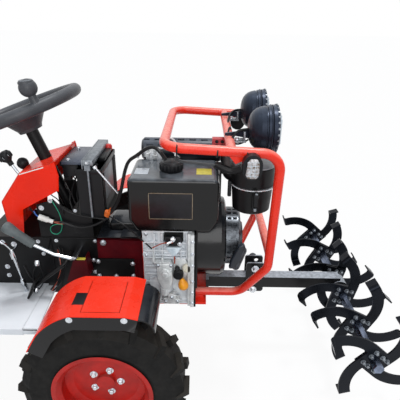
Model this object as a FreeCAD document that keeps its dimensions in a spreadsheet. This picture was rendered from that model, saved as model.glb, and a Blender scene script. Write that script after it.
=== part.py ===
import FreeCAD, Part
import Sketcher
import math
import os
import re

from FreeCAD import Placement, Rotation, Vector

# Articulated mini tractor: a front module with the engine, gearbox and steering,
# and a rear module with the seat, joined by an upright pivot between the axles.
# X points forward, Y to the tractor's left, Z up.  The origin lies on the ground
# under the middle of the tractor's length and width.  All sizes in millimetres.

os.makedirs("parts", exist_ok=True)
doc = FreeCAD.newDocument("articulated_mini_tractor")

# ---------------------------------------------------------------- driving sizes
# Lengths that end in _ahead or _behind are measured from the front axle.
SIZES = {
    # running gear
    "wheel_base": 1200,
    "track_half": 484,
    "tyre_outer": 275,
    "tyre_width": 130,
    "tyre_facets": 32,
    "tyre_bead": 152,
    "tyre_bead_inset": 6,
    "tyre_bulge": 24,
    "tyre_shoulder_drop": 44,
    "tyre_crown_width": 92,
    "lugs_per_side": 16,
    "lug_height": 16,
    "lug_width": 21,
    "lug_slant": 27,
    "lug_overhang": 2,
    "lug_past_middle": 7,
    "lug_root": 6,
    "rim_wall": 4,
    "rim_disc": 8,
    "rim_flange": 10,
    "rim_flange_width": 8,
    "rim_well": 10,
    "rim_dish": 44,
    "hub_flange_radius": 65,
    "hub_flange_depth": 20,
    "hub_cap_radius": 30,
    "hub_cap_height": 12,
    "axle_tube_radius": 42,
    "differential_half_length": 78,
    "differential_half_width": 90,
    "differential_depth": 160,
    # fenders
    "fender_top_height": 605,
    "fender_sheet": 3,
    "fender_inner": 370,
    "fender_overhang": 17,
    "fender_front_ahead": 130,
    "fender_flat_front_ahead": 95,
    "fender_flat_rear_behind": 66,
    "fender_rear_behind": 206,
    "fender_front_drop": 9,
    "fender_mid_drop": 24,
    "fender_mid_behind": 118,
    "fender_heel_behind": 172,
    "fender_heel_height": 530,
    "fender_rear_bottom_height": 470,
    "skirt_depth": 48,
    "skirt_sheet": 4,
    "skirt_relief": 0.3,
    "flap_reach": 48,
    "flap_drop": 46,
    "flap_inset": 24,
    "fender_bracket_width": 40,
    "fender_bracket_thickness": 6,
    "fender_bracket_rise": 12,
    "fender_post_inset": 26,
    "fender_arm_inset": 40,
    # front module frame
    "chassis_half_width": 120,
    "chassis_plate": 10,
    "chassis_top_height": 604,
    "chassis_bottom_height": 350,
    "chassis_rear_behind": 520,
    "gearbox_rear_behind": 90,
    "gearbox_front_ahead": 82,
    "gearbox_half_width": 120,
    "gearbox_cover_thickness": 6,
    "gearbox_cover_inset": 26,
    "gearbox_cover_low": 60,
    "gearbox_cover_height": 86,
    "gearbox_bottom_height": 366,
    # articulation
    "pivot_behind": 600,
    "pivot_pin_radius": 20,
    "pivot_clearance": 0.05,
    "pivot_ear_thickness": 22,
    "pivot_ear_radius": 48,
    "pivot_ear_gap": 1,
    "pivot_top_height": 520,
    "pivot_bottom_height": 340,
    "knuckle_radius": 44,
    "roll_pin_radius": 24,
    "roll_flange_thickness": 12,
    "roll_pin_overrun": 14,
    "roll_collar": 10,
    "pin_overrun": 12,
    "pin_cap": 9,
    "pin_cap_thickness": 8,
    "knuckle_flat": 8,
    "front_plate_half_height": 60,
    "rear_plate_drop": 40,
    "cross_member": 12,
    "tail_lamp_drop": 36,
    "roll_flange_rear": 66,
    "roll_flange_radius": 60,
    "front_plate": 22,
    "roll_flange_gap": 1,
    # engine
    "cradle_thickness": 12,
    "cradle_half_width": 165,
    "cradle_front_ahead": 330,
    "engine_base_height": 348,
    "crankcase_rear_ahead": 92,
    "crankcase_front_ahead": 274,
    "crankcase_right": 170,
    "crankcase_left": 120,
    "crank_height": 560,
    "casting_rib": 5,
    "casting_rib_depth": 7,
    "pump_ahead": 206,
    "pump_height": 634,
    "pump_radius": 27,
    "pump_reach": 16,
    "pump_bolt_radius": 10,
    "pump_bolt_reach": 24,
    "pump_bolt_spread": 14,
    "pump_bracket_reach": 14,
    "pump_bracket_half_width": 24,
    "pump_bracket_drop": 58,
    "pump_bracket_top": 24,
    "oil_cap_ahead": 253,
    "oil_cap_height": 520,
    "oil_cap_radius": 19,
    "drain_ahead": 106,
    "drain_height": 414,
    "drain_radius": 15,
    "plug_reach": 14,
    "cover_ahead": 136,
    "cover_height": 452,
    "cover_radius": 24,
    "cover_reach": 12,
    "filter_boss_ahead": 178,
    "filter_boss_bottom": 418,
    "filter_boss_length": 118,
    "filter_boss_radius": 24,
    "filter_boss_reach": 8,
    "tank_rear_ahead": 50,
    "tank_front_ahead": 366,
    "tank_right": 190,
    "tank_left": 34,
    "tank_bottom_height": 671,
    "tank_top_height": 872,
    "tank_corner": 26,
    "tank_low_corner": 44,
    "fuel_cap_radius": 33,
    "fuel_cap_height": 26,
    "fuel_cap_ahead": 196,
    "fuel_cap_right": 92,
    "cylinder_rear_ahead": 120,
    "cylinder_front_ahead": 280,
    "cylinder_left": 178,
    "cylinder_top_height": 812,
    "cylinder_fin": 5,
    "cylinder_fins": 9,
    "cylinder_fin_depth": 14,
    "muffler_rear_ahead": 67,
    "muffler_front_ahead": 386,
    "muffler_radius": 46,
    "muffler_left": 106,
    "muffler_rise": 30,
    "muffler_chamfer": 10,
    "exhaust_pipe_radius": 12,
    "exhaust_pipe_ahead": 160,
    "exhaust_joint": 8,
    "rocker_rear_ahead": 89,
    "rocker_front_ahead": 150,
    "rocker_rise": 84,
    "rocker_drop": 90,
    "rocker_gap": 3,
    "muffler_gap": 0.4,
    "muffler_slots": 7,
    "muffler_slot_length": 26,
    "muffler_slot_width": 9,
    "muffler_slot_depth": 4,
    "shroud_rear_ahead": 285,
    "shroud_front_ahead": 401,
    "shroud_radius": 160,
    "shroud_bottom_height": 420,
    "shroud_edge": 18,
    "backplate": 20,
    "starter_depth": 70,
    "starter_radius": 116,
    "starter_nose_radius": 66,
    "starter_slots": 26,
    "starter_slot_width": 11,
    "starter_slot_length": 15,
    "starter_slot_depth": 9,
    "pull_grip_radius": 16,
    "pull_grip_length": 74,
    "pull_grip_lean": 18,
    "filter_ahead": 482,
    "filter_right": 140,
    "filter_radius": 76,
    "filter_bottom_height": 752,
    "filter_top_height": 926,
    "filter_band_height": 848,
    "filter_band_step": 4,
    "intake_radius": 24,
    "intake_bend": 40,
    "intake_ahead": 402,
    "intake_height": 872,
    # guard frame and lamps
    "guard_tube_radius": 16,
    "guard_bend": 62,
    "guard_half_width": 270,
    "guard_rear_ahead": 183,
    "guard_rear_above_tank": 140,
    "guard_front_ahead": 550,
    "guard_front_above_tank": 122,
    "guard_knee_ahead": 550,
    "guard_knee_height": 546,
    "guard_cross_low_height": 610,
    "guard_knee_half_width": 215,
    "guard_foot_ahead": 462,
    "guard_foot_half_width": 140,
    "guard_foot_height": 382,
    "guard_foot_rear_ahead": 284,
    "guard_cross_ahead": 395,
    "headlamp_radius": 78,
    "headlamp_rim": 17,
    "headlamp_depth": 69,
    "headlamp_half_spacing": 145,
    "headlamp_ahead": 523,
    "headlamp_height": 1042,
    "lamp_arm": 8,
    "marker_radius": 30,
    "marker_ahead": 457,
    "marker_rise": 10,
    "marker_drop": 30,
    "marker_depth": 30,
    # console and steering
    "cowl_half_width": 130,
    "cowl_sheet": 3,
    "cowl_corner": 14,
    "cowl_front_behind": 209,
    "cowl_front_height": 903,
    "cowl_top_rear_behind": 342,
    "cowl_top_rear_height": 862,
    "cowl_back_behind": 424,
    "cowl_back_height": 750,
    "cowl_bottom_height": 604,
    "cowl_bottom_rear_behind": 410,
    "cowl_notch_behind": 345,
    "cowl_notch_height": 724,
    "cowl_lip_behind": 215,
    "cowl_lip_height": 796,
    "console_front_behind": 36,
    "console_rear_behind": 188,
    "console_half_width": 118,
    "console_wall": 6,
    "console_shelf_height": 694,
    "gusset_rear": 112,
    "gusset_rise": 62,
    "battery_front_behind": 50,
    "battery_rear_behind": 138,
    "battery_half_width": 122,
    "battery_height": 186,
    "battery_terminal_radius": 9,
    "battery_terminal_height": 12,
    "battery_terminal_inset": 24,
    "clamp_bar": 20,
    "clamp_overhang": 14,
    "clamp_rod_radius": 4,
    "switch_plate_front_behind": 141,
    "switch_plate_rear_behind": 203,
    "switch_plate_half_width": 89,
    "switch_plate_thickness": 16,
    "steering_behind": 350,
    "steering_height": 1058,
    "steering_tilt": 20,
    "steering_rim_radius": 207,
    "steering_grip_radius": 21,
    "steering_hub_radius": 76,
    "steering_hub_low_radius": 42,
    "steering_hub_height": 52,
    "steering_spoke_width": 26,
    "steering_spoke_thickness": 5,
    "steering_dish": 26,
    "column_radius": 23,
    "column_length": 470,
    "column_gap": 1,
    "spinner_radius": 29,
    "spinner_stem": 20,
    "spinner_turn": 40,
    # controls and footboards
    "footboard_top_height": 392,
    "footboard_thickness": 6,
    "footboard_lip": 24,
    "footboard_front_behind": 300,
    "footboard_rear_behind": 540,
    "footboard_outer": 385,
    "pedal_pad_length": 84,
    "pedal_pad_width": 60,
    "pedal_thickness": 8,
    "pedal_lean": 25,
    "pedal_height": 436,
    "pedal_behind": 318,
    "pedal_out": 200,
    "pedal_arm_height": 540,
    "pedal_arm_behind": 190,
    "lever_radius": 7,
    "lever_knob_radius": 20,
    "hand_lever_out": 200,
    "hand_lever_foot_behind": 153,
    "hand_lever_foot_height": 559,
    "hand_lever_rise": 20,
    "hand_lever_flat_behind": 226,
    "hand_lever_grip_behind": 298,
    "hand_lever_grip_height": 619,
    "hand_lever_end_behind": 375,
    "hand_lever_end_height": 682,
    "hand_lever_grip_radius": 14,
    "gear_knob_behind": 379,
    "gear_knob_height": 922,
    "gear_knob_out": 118,
    "range_knob_behind": 359,
    "range_knob_height": 871,
    "range_knob_out": 38,
    "knob_rod_lean": 30,
    "knob_rod_length": 120,
    "brake_rod_radius": 4,
    "brake_rod_out": 170,
    "brake_rod_top_behind": 398,
    "brake_rod_top_height": 563,
    "brake_rod_foot_behind": 368,
    "lever_plate": 6,
    # front tool bar and tine rotor
    "bar_size": 50,
    "bar_height": 346,
    "bar_gap": 6,
    "bar_plate": 8,
    "bar_plate_rear_ahead": 497,
    "bar_plate_front_ahead": 573,
    "bar_plate_bottom_height": 306,
    "bar_plate_top_height": 446,
    "bar_plate_corner": 12,
    "bar_pin_radius": 9,
    "bar_pin_ahead": 545,
    "bar_pin_height": 424,
    "rotor_ahead": 900,
    "rotor_height": 322,
    "rotor_half_width": 470,
    "rotor_shaft_across": 32,
    "tine_blade": 6,
    "tine_width": 40,
    "tine_root_offset": 28,
    "tine_straight": 49.1,
    "tine_bend_radius": 130,
    "tine_bend_turn": 60,
    "tine_tip_radius": 14,
    "tine_tip_bend": 46,
    "tine_hub": 92,
    "tine_hub_thickness": 8,
    "tine_first": 68,
    "tine_pitch": 178,
    "tine_hubs_per_side": 3,
    "tine_step": 15,
    "bearing_radius": 36,
    "bearing_half_width": 30,
    "bearing_clearance": 0.08,
    # rear module
    "rear_rail_half_spacing": 110,
    "rear_rail_width": 40,
    "rear_rail_depth": 70,
    "rear_rail_top_height": 470,
    "rear_rail_rear_behind": 1400,
    "deck_half_width": 190,
    "deck_front_behind": 760,
    "deck_thickness": 5,
    "seat_behind": 900,
    "seat_half_width": 215,
    "seat_pan_height": 636,
    "seat_pan_thickness": 12,
    "seat_length": 400,
    "seat_cushion_thickness": 70,
    "seat_back_height": 330,
    "seat_back_thickness": 66,
    "seat_back_lean": 10,
    "seat_post_half_length": 110,
    "seat_post_half_width": 120,
    "seat_post_wall": 6,
    "drawbar_behind": 1490,
    "drawbar_half_width": 45,
    "drawbar_thickness": 16,
    "drawbar_height": 400,
    "drawbar_hole_radius": 11,
    "drawbar_hole_inset": 32,
    "tail_lamp_radius": 30,
    "tail_lamp_depth": 22,
}

sizes = doc.addObject("Spreadsheet::Sheet", "sizes")
for row, (name, value) in enumerate(SIZES.items(), start=1):
    sizes.set("A%d" % row, name)
    sizes.set("B%d" % row, str(value))
    sizes.setAlias("B%d" % row, name)

# ------------------------------------------------------- places that follow them
PLACES = {
    "axle_height": "tyre_outer",
    "tine_tip_x": "tine_straight + (tine_bend_radius + tine_width / 2) * sin(tine_bend_turn)"
                  " + tine_tip_radius * cos(tine_bend_turn)",
    "tine_tip_z": "tine_bend_radius - tine_root_offset + tine_tip_radius * sin(tine_bend_turn)"
                  " - (tine_bend_radius + tine_width / 2) * cos(tine_bend_turn)",
    "tine_reach": "sqrt(tine_tip_x ^ 2 + tine_tip_z ^ 2)",
    "rotor_reach": "rotor_ahead + tine_reach",
    "front_axle_x": "(drawbar_behind - rotor_reach) / 2",
    "rear_axle_x": "front_axle_x - wheel_base",
    "fender_outer": "track_half + tyre_width / 2 + fender_overhang",
    "guard_front_height": "tank_top_height + guard_front_above_tank",
    "guard_rear_height": "tank_top_height + guard_rear_above_tank",
    "guard_cross_height": "guard_front_height + (guard_rear_height - guard_front_height)"
                          " * (guard_front_ahead - guard_cross_ahead)"
                          " / (guard_front_ahead - guard_rear_ahead)",
    "pivot_x": "front_axle_x - pivot_behind",
    "carcass_half": "tyre_width / 2 - lug_overhang",
    "shoulder_radius": "tyre_outer - tyre_shoulder_drop",
    "rim_outer": "tyre_bead",
    "hub_flange_outer": "track_half - rim_disc / 2",
    "hub_flange_inner": "hub_flange_outer - hub_flange_depth",
    "cradle_bottom": "engine_base_height - cradle_thickness",
    "cylinder_bottom": "tank_bottom_height",
    "muffler_base": "cylinder_top_height + muffler_rise",
    "clamp_top": "console_shelf_height + battery_height + clamp_bar",
    "rear_rail_bottom": "rear_rail_top_height - rear_rail_depth",
    "rotor_x": "front_axle_x + rotor_ahead",
    "tine_journal_radius": "rotor_shaft_across / 2 + 2",
    "switch_plate_bottom": "console_shelf_height + battery_height - 1",
    "knuckle_bottom": "pivot_bottom_height + pivot_ear_thickness + pivot_ear_gap",
    "knuckle_top": "pivot_top_height - pivot_ear_thickness - pivot_ear_gap",
    "roll_height": "(pivot_top_height + pivot_bottom_height) / 2",
    "front_plate_rear_x": "pivot_x - roll_flange_rear - roll_flange_gap - front_plate",
}


def linked(text):
    """Name the sheet of each size or place used in an expression."""
    def owner(word):
        name = word.group()
        if name in SIZES:
            return "sizes." + name
        if name in PLACES:
            return "places." + name
        return name
    return re.sub(r"[a-z][a-z0-9_]*", owner, text)


places = doc.addObject("Spreadsheet::Sheet", "places")
for row, (name, text) in enumerate(PLACES.items(), start=1):
    places.set("A%d" % row, name)
    places.setAlias("B%d" % row, name)
for row, (name, text) in enumerate(PLACES.items(), start=1):
    own_sheet = linked(text).replace("places.", "")
    places.set("B%d" % row, "=" + own_sheet)
doc.recompute()


def get(name):
    """The number that a size or place has now."""
    return float(sizes.get(name) if name in SIZES else places.get(name))


# --------------------------------------------------------------- shape helpers
NODES = []


def node(label, item):
    """Give a finished sub-part the label that names its file."""
    item.Label = label
    NODES.append(item)
    return item


def place(item, x="0", y="0", z="0"):
    """Bind where an object stands."""
    item.setExpression("Placement.Base.x", linked(x))
    item.setExpression("Placement.Base.y", linked(y))
    item.setExpression("Placement.Base.z", linked(z))
    return item


def block(x, y, z):
    """A box between two expressions along each axis."""
    box = doc.addObject("Part::Box", "block")
    for side, (low, high) in zip(("Length", "Width", "Height"), (x, y, z)):
        box.setExpression(side, linked("(%s) - (%s)" % (high, low)))
    return place(box, x[0], y[0], z[0])


TURNS = {
    "x": Rotation(Vector(0, 1, 0), 90),
    "y": Rotation(Vector(1, 0, 0), -90),
    "z": Rotation(),
}


def round_bar(axis, radius, length, x, y, z):
    """A cylinder that starts at a point and runs along +X, +Y or +Z."""
    bar = doc.addObject("Part::Cylinder", "round_bar")
    bar.Placement = Placement(Vector(), TURNS[axis])
    bar.setExpression("Radius", linked(radius))
    bar.setExpression("Height", linked(length))
    return place(bar, x, y, z)


def fuse(*items):
    joined = doc.addObject("Part::MultiFuse", "fused")
    joined.Shapes = list(items)
    joined.Refine = True
    return joined


def cut(base, *tools):
    result = doc.addObject("Part::Cut", "cut")
    result.Base = base
    result.Tool = tools[0] if len(tools) == 1 else fuse(*tools)
    result.Refine = True
    return result


def mirrored(item):
    """The same piece on the other side of the tractor."""
    other = doc.addObject("Part::Mirroring", "mirrored")
    other.Source = item
    other.Normal = Vector(0, 1, 0)
    other.Base = Vector(0, 0, 0)
    return other


def together(*items):
    """Like pieces that share a node without touching."""
    group = doc.addObject("Part::Compound", "pieces")
    group.Links = list(items)
    return group


def both_sides(item):
    return together(item, mirrored(item))


def solid(shape):
    """A piece made by Part's own functions from sizes read off the sheet."""
    feature = doc.addObject("Part::Feature", "piece")
    feature.Shape = shape
    return feature


def outline_sketch(body, role, points):
    """A closed outline whose corners are each bound to two expressions."""
    sketch = body.newObject("Sketcher::SketchObject", "outline")
    plane = next(item for item in body.Origin.OriginFeatures if item.Role == role)
    sketch.AttachmentSupport = (plane, [""])
    sketch.MapMode = "FlatFace"
    count = len(points)
    seeds = [Vector(100 * math.cos(2 * math.pi * index / count),
                    100 * math.sin(2 * math.pi * index / count), 0)
             for index in range(count)]
    for index in range(count):
        sketch.addGeometry(Part.LineSegment(seeds[index], seeds[(index + 1) % count]))
    for index in range(count):
        sketch.addConstraint(Sketcher.Constraint("Coincident", index, 2, (index + 1) % count, 1))
    for index, corner in enumerate(points):
        for kind, text, seed in (("DistanceX", corner[0], seeds[index].x),
                                 ("DistanceY", corner[1], seeds[index].y)):
            number = sketch.addConstraint(Sketcher.Constraint(kind, -1, 1, index, 1, seed))
            sketch.setExpression("Constraints[%d]" % number, linked(text))
    return sketch


PLANES = {"y": "XZ_Plane", "z": "XY_Plane", "x": "YZ_Plane"}


def slab(axis, points, low, high):
    """A plate with a closed outline, padded along X, Y or Z from low to high.

    Corners are (x, z) across Y, (x, y) across Z and (y, z) across X.
    """
    body = doc.addObject("PartDesign::Body", "slab")
    sketch = outline_sketch(body, PLANES[axis], points)
    start = "-(%s)" % high if axis == "y" else low
    sketch.setExpression("AttachmentOffset.Base.z", linked(start))
    pad = body.newObject("PartDesign::Pad", "pad")
    pad.Profile = sketch
    pad.setExpression("Length", linked("(%s) - (%s)" % (high, low)))
    body.Tip = pad
    return body


def turned(axis, points, x="0", y="0", z="0"):
    """A body of revolution: corners are (distance along the axis, radius)."""
    body = doc.addObject("PartDesign::Body", "turned")
    if axis == "z":
        points = [(radius, along) for along, radius in points]
    role = "YZ_Plane" if axis == "y" else "XZ_Plane"
    sketch = outline_sketch(body, role, points)
    spin = body.newObject("PartDesign::Revolution", "spin")
    spin.Profile = sketch
    spin.ReferenceAxis = (sketch, ["V_Axis" if axis == "z" else "H_Axis"])
    spin.Angle = 360
    body.Tip = spin
    return place(body, x, y, z)


def bent_path(points, bend):
    """Straight runs joined by tangent arcs of one radius."""
    edges = []
    start = points[0]
    for before, corner, after in zip(points, points[1:], points[2:]):
        inward = (before - corner).normalize()
        outward = (after - corner).normalize()
        half = inward.getAngle(outward) / 2
        setback = bend / math.tan(half)
        first = corner + inward * setback
        last = corner + outward * setback
        middle_way = (inward + outward).normalize()
        centre = corner + middle_way * (bend / math.sin(half))
        middle = centre - middle_way * bend
        edges.append(Part.LineSegment(start, first).toShape())
        edges.append(Part.Arc(first, middle, last).toShape())
        start = last
    edges.append(Part.LineSegment(start, points[-1]).toShape())
    return Part.Wire(edges)


def tube(points, radius, bend):
    """A round bar bent along a path."""
    path = bent_path(points, bend)
    way = points[1] - points[0]
    ring = Part.Wire(Part.makeCircle(radius, points[0], way))
    return path.makePipeShell([ring], True, False)


def straight(start, end, radius):
    return Part.makeCylinder(radius, (end - start).Length, start, end - start)


def line(start, end):
    return Part.LineSegment(start, end).toShape()


def plate_between(points, way):
    """A flat sheet whose corners are joined by straight edges, thickened along a vector."""
    return Part.Face(Part.makePolygon(points + points[:1])).extrude(way)


def rounded(body, radius, chosen):
    """Round those edges of a padded body that a test chooses."""
    doc.recompute()
    before = body.Tip
    names = ["Edge%d" % (number + 1) for number, edge in enumerate(before.Shape.Edges) if chosen(edge)]
    fillet = body.newObject("PartDesign::Fillet", "rounded")
    fillet.Base = (before, names)
    fillet.setExpression("Radius", linked(radius))
    body.Tip = fillet
    return body


def ahead(name):
    """X of something measured ahead of the front axle."""
    return "front_axle_x + (%s)" % name


def behind(name):
    """X of something measured behind the front axle."""
    return "front_axle_x - (%s)" % name


# ------------------------------------------------------------------ wheels
def facet_ring(profile, count):
    """Flat facets round the Y axis through every corner of a closed (along, radius) profile."""
    rings = []
    for index in range(count):
        angle = 2 * math.pi * index / count
        rings.append([Vector(radius * math.cos(angle), along, radius * math.sin(angle))
                      for along, radius in profile])
    faces = []
    for ring, following in zip(rings, rings[1:] + rings[:1]):
        for corner in range(len(profile)):
            after = (corner + 1) % len(profile)
            faces.append(Part.Face(Part.makePolygon([
                ring[corner], ring[after], following[after], following[corner], ring[corner]])))
    return Part.Solid(Part.Shell(faces))


def lug(side):
    """One slanted bar at the bottom of the tyre, from the middle of the tread over a shoulder."""
    outer = get("tyre_outer")
    root = outer - get("lug_height") - get("lug_root")
    half = get("tyre_width") / 2
    shoulder = get("shoulder_radius")
    wide = get("lug_width")
    middle = (half - get("lug_past_middle")) / 2
    profile = [
        (-get("lug_past_middle"), root),
        (-get("lug_past_middle"), outer),
        (get("tyre_crown_width") / 2, outer),
        (half, shoulder + get("lug_root")),
        (half - get("lug_root"), shoulder - get("lug_root")),
    ]
    corners = [Vector(-wide / 2, side * along, -radius) for along, radius in profile]
    bar = plate_between(corners, Vector(wide, 0, 0))
    return bar.rotate(Vector(0, side * middle, 0), Vector(0, 0, 1), side * get("lug_slant"))


def lugged_tyre():
    """A low carcass of flat facets with two staggered rows of slanted lugs fused to it."""
    half = get("carcass_half")
    crown = get("tyre_outer") - get("lug_height")
    facets = int(get("tyre_facets"))
    bead = get("tyre_bead") / math.cos(math.pi / facets)
    right_side = [
        (half - get("tyre_bead_inset"), bead),
        (half, bead + get("tyre_bulge")),
        (half, get("shoulder_radius")),
        (get("tyre_crown_width") / 2, crown),
    ]
    left_side = [(-along, radius) for along, radius in reversed(right_side)]
    carcass = facet_ring(right_side + left_side, facets)
    step = 360 / int(get("lugs_per_side"))
    bars = []
    for index in range(int(get("lugs_per_side"))):
        for side, stagger in ((-1, 0), (1, step / 2)):
            bars.append(lug(side).rotate(Vector(), Vector(0, 1, 0), index * step + stagger))
    return carcass.fuse(bars)


TYRE = lugged_tyre()


def wheel(corner, axle_x, side):
    """A tyre on a rim whose dished disc bolts to the axle's flange."""
    middle = "%s * track_half" % side
    node("tyre_" + corner, place(solid(TYRE), axle_x, middle, "axle_height"))
    barrel = turned("y", [
        ("-tyre_width / 2", "rim_outer - rim_wall"),
        ("-tyre_width / 2", "rim_outer + rim_flange"),
        ("-tyre_width / 2 + rim_flange_width", "rim_outer"),
        ("tyre_width / 2 - rim_flange_width", "rim_outer"),
        ("tyre_width / 2", "rim_outer + rim_flange"),
        ("tyre_width / 2", "rim_outer - rim_wall"),
        ("tyre_width / 2 - 2 * rim_flange_width", "rim_outer - 2 * rim_wall - rim_well"),
        ("%s * rim_disc / 2 + rim_disc" % side, "rim_outer - 2 * rim_wall - rim_well"),
        ("rim_disc / 2", "rim_outer - rim_dish"),
        ("rim_disc / 2", "0"),
        ("-rim_disc / 2", "0"),
        ("-rim_disc / 2", "rim_outer - rim_dish"),
        ("%s * rim_disc / 2 - rim_disc" % side, "rim_outer - 2 * rim_wall - rim_well"),
        ("-tyre_width / 2 + 2 * rim_flange_width", "rim_outer - 2 * rim_wall - rim_well"),
    ], axle_x, middle, "axle_height")
    low = "rim_disc / 2" if side == "1" else "-rim_disc / 2 - hub_cap_height"
    cap = round_bar("y", "hub_cap_radius", "hub_cap_height",
                    axle_x, middle + " + (%s)" % low, "axle_height")
    node("rim_" + corner, fuse(barrel, cap))


WHEELS = {
    "front_right": ("front_axle_x", "-1"),
    "front_left": ("front_axle_x", "1"),
    "rear_right": ("rear_axle_x", "-1"),
    "rear_left": ("rear_axle_x", "1"),
}
for corner, (axle_x, side) in WHEELS.items():
    wheel(corner, axle_x, side)


def axle(label, axle_x, box_top):
    """A tubular axle housing with flanges for the wheels and its differential."""
    housing = round_bar("y", "axle_tube_radius", "2 * hub_flange_inner",
                        axle_x, "-hub_flange_inner", "axle_height")
    flange = round_bar("y", "hub_flange_radius", "hub_flange_depth - 0.5",
                       axle_x, "hub_flange_inner", "axle_height")
    box = block((axle_x + " - differential_half_length", axle_x + " + differential_half_length"),
                ("-differential_half_width", "differential_half_width"),
                ("axle_height - differential_depth / 2", box_top))
    node(label, fuse(housing, flange, mirrored(flange), box))


axle("front_axle", "front_axle_x", "gearbox_bottom_height")
axle("rear_axle", "rear_axle_x", "rear_rail_bottom")


# ------------------------------------------------------------------ fenders
def fender_line():
    """The edges of the side line: a sloped nose, a flat top and a rear curved down behind the tyre."""
    top = get("fender_top_height")
    nose = Vector(get("fender_front_ahead"), 0, top - get("fender_front_drop"))
    flat_front = Vector(get("fender_flat_front_ahead"), 0, top)
    flat_rear = Vector(-get("fender_flat_rear_behind"), 0, top)
    bend = Vector(-get("fender_mid_behind"), 0, top - get("fender_mid_drop"))
    heel = Vector(-get("fender_heel_behind"), 0, get("fender_heel_height"))
    low = Vector(-get("fender_rear_behind"), 0, get("fender_rear_bottom_height"))
    curve = Part.Arc(flat_rear, bend, heel).toShape()
    return [line(nose, flat_front), line(flat_front, flat_rear), curve, line(heel, low)]


def below_line(edges, depth, low, high):
    """A sheet from a side line's edges down to some depth below it, between two widths."""
    face = Part.Wire(edges).makeOffset2D(depth, fill=True, openResult=True)
    sheet = face.extrude(Vector(0, high - low, 0))
    return sheet.transformed(FreeCAD.Placement(Vector(0, low, 0), FreeCAD.Rotation()).toMatrix(), True)


def fender(axle_x):
    """The pressed top sheet, and the dark skirt under its outer edge with the front flap."""
    path = fender_line()
    thin = get("fender_sheet")
    inner = get("fender_inner")
    outer = get("fender_outer")
    top = below_line(path, thin, inner, outer)
    skirt = below_line(path, thin + get("skirt_depth"), outer - get("skirt_sheet"), outer)
    skirt = skirt.cut([top, below_line(path[2:3], thin + get("skirt_relief"), inner, outer)])
    start = Vector(get("fender_front_ahead"), 0, get("fender_top_height") - get("fender_front_drop") - thin)
    end = start + Vector(get("flap_reach"), 0, -get("flap_drop"))
    middle = start + Vector(get("flap_reach") * math.sin(math.pi / 4), 0,
                            get("flap_drop") * (math.cos(math.pi / 4) - 1))
    curve = Part.Arc(start, middle, end).toShape()
    flap = below_line([curve], get("skirt_sheet"), inner + get("flap_inset"), outer)
    return place(solid(top), axle_x), place(solid(skirt.fuse(flap)), axle_x)


for end, axle_x in (("front", "front_axle_x"), ("rear", "rear_axle_x")):
    top, skirt = fender(axle_x)
    node(end + "_fenders", both_sides(top))
    node(end + "_fender_skirts", both_sides(skirt))


def fender_bracket(axle_x, inner):
    """A flat arm from the frame's side out under the fender's top."""
    return block((axle_x + " - fender_bracket_width / 2", axle_x + " + fender_bracket_width / 2"),
                 (inner, "fender_outer - skirt_sheet"),
                 ("fender_top_height - fender_sheet - fender_bracket_thickness",
                  "fender_top_height - fender_sheet"))


# ------------------------------------------------------------ front module frame
def chassis_frame():
    """Two side plates, their webs and top plate, and the ears of the upright pivot."""
    side = block((behind("chassis_rear_behind"), behind("gearbox_rear_behind")),
                 ("chassis_half_width - chassis_plate", "chassis_half_width"),
                 ("chassis_bottom_height", "chassis_top_height"))
    inside = ("chassis_plate - chassis_half_width", "chassis_half_width - chassis_plate")
    rear_web = block((behind("chassis_rear_behind"), behind("chassis_rear_behind - chassis_plate")),
                     inside, ("chassis_bottom_height", "chassis_top_height"))
    front_web = block((behind("gearbox_rear_behind + chassis_plate"), behind("gearbox_rear_behind")),
                      inside, ("chassis_bottom_height", "chassis_top_height"))
    top = block((behind("chassis_rear_behind"), behind("gearbox_rear_behind")),
                inside, ("chassis_top_height - chassis_plate", "chassis_top_height"))
    pieces = [side, mirrored(side), rear_web, front_web, top]
    for low in ("pivot_bottom_height", "pivot_top_height - pivot_ear_thickness"):
        pieces.append(block(("pivot_x", behind("chassis_rear_behind")),
                            ("-pivot_ear_radius", "pivot_ear_radius"),
                            (low, low + " + pivot_ear_thickness")))
        pieces.append(round_bar("z", "pivot_ear_radius", "pivot_ear_thickness", "pivot_x", "0", low))
    bore = round_bar("z", "pivot_pin_radius + pivot_clearance", "pivot_top_height",
                     "pivot_x", "0", "0")
    return cut(fuse(*pieces), bore)


node("chassis_frame", chassis_frame())

gearbox_side = block((behind("gearbox_rear_behind"), ahead("gearbox_front_ahead")),
                     ("-gearbox_half_width", "gearbox_half_width"),
                     ("gearbox_bottom_height", "chassis_top_height - chassis_plate"))
gearbox_lid = block((behind("gearbox_rear_behind - gearbox_cover_inset"),
                     ahead("gearbox_front_ahead - gearbox_cover_inset")),
                    ("-gearbox_half_width - gearbox_cover_thickness", "-gearbox_half_width"),
                    ("gearbox_bottom_height + gearbox_cover_low",
                     "gearbox_bottom_height + gearbox_cover_low + gearbox_cover_height"))
front_width = ("front_axle_x - fender_bracket_width / 2", "front_axle_x + fender_bracket_width / 2")
front_post = "fender_inner + fender_post_inset"
front_arm = block(front_width, ("gearbox_half_width", front_post + " + fender_bracket_thickness"),
                  ("gearbox_bottom_height + fender_bracket_rise",
                   "gearbox_bottom_height + fender_bracket_rise + fender_bracket_thickness"))
front_post = block(front_width, (front_post, front_post + " + fender_bracket_thickness"),
                   ("gearbox_bottom_height + fender_bracket_rise", "fender_top_height - fender_sheet"))
node("gearbox", fuse(gearbox_side, gearbox_lid, mirrored(gearbox_lid), front_arm, mirrored(front_arm),
                     front_post, mirrored(front_post)))


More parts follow.
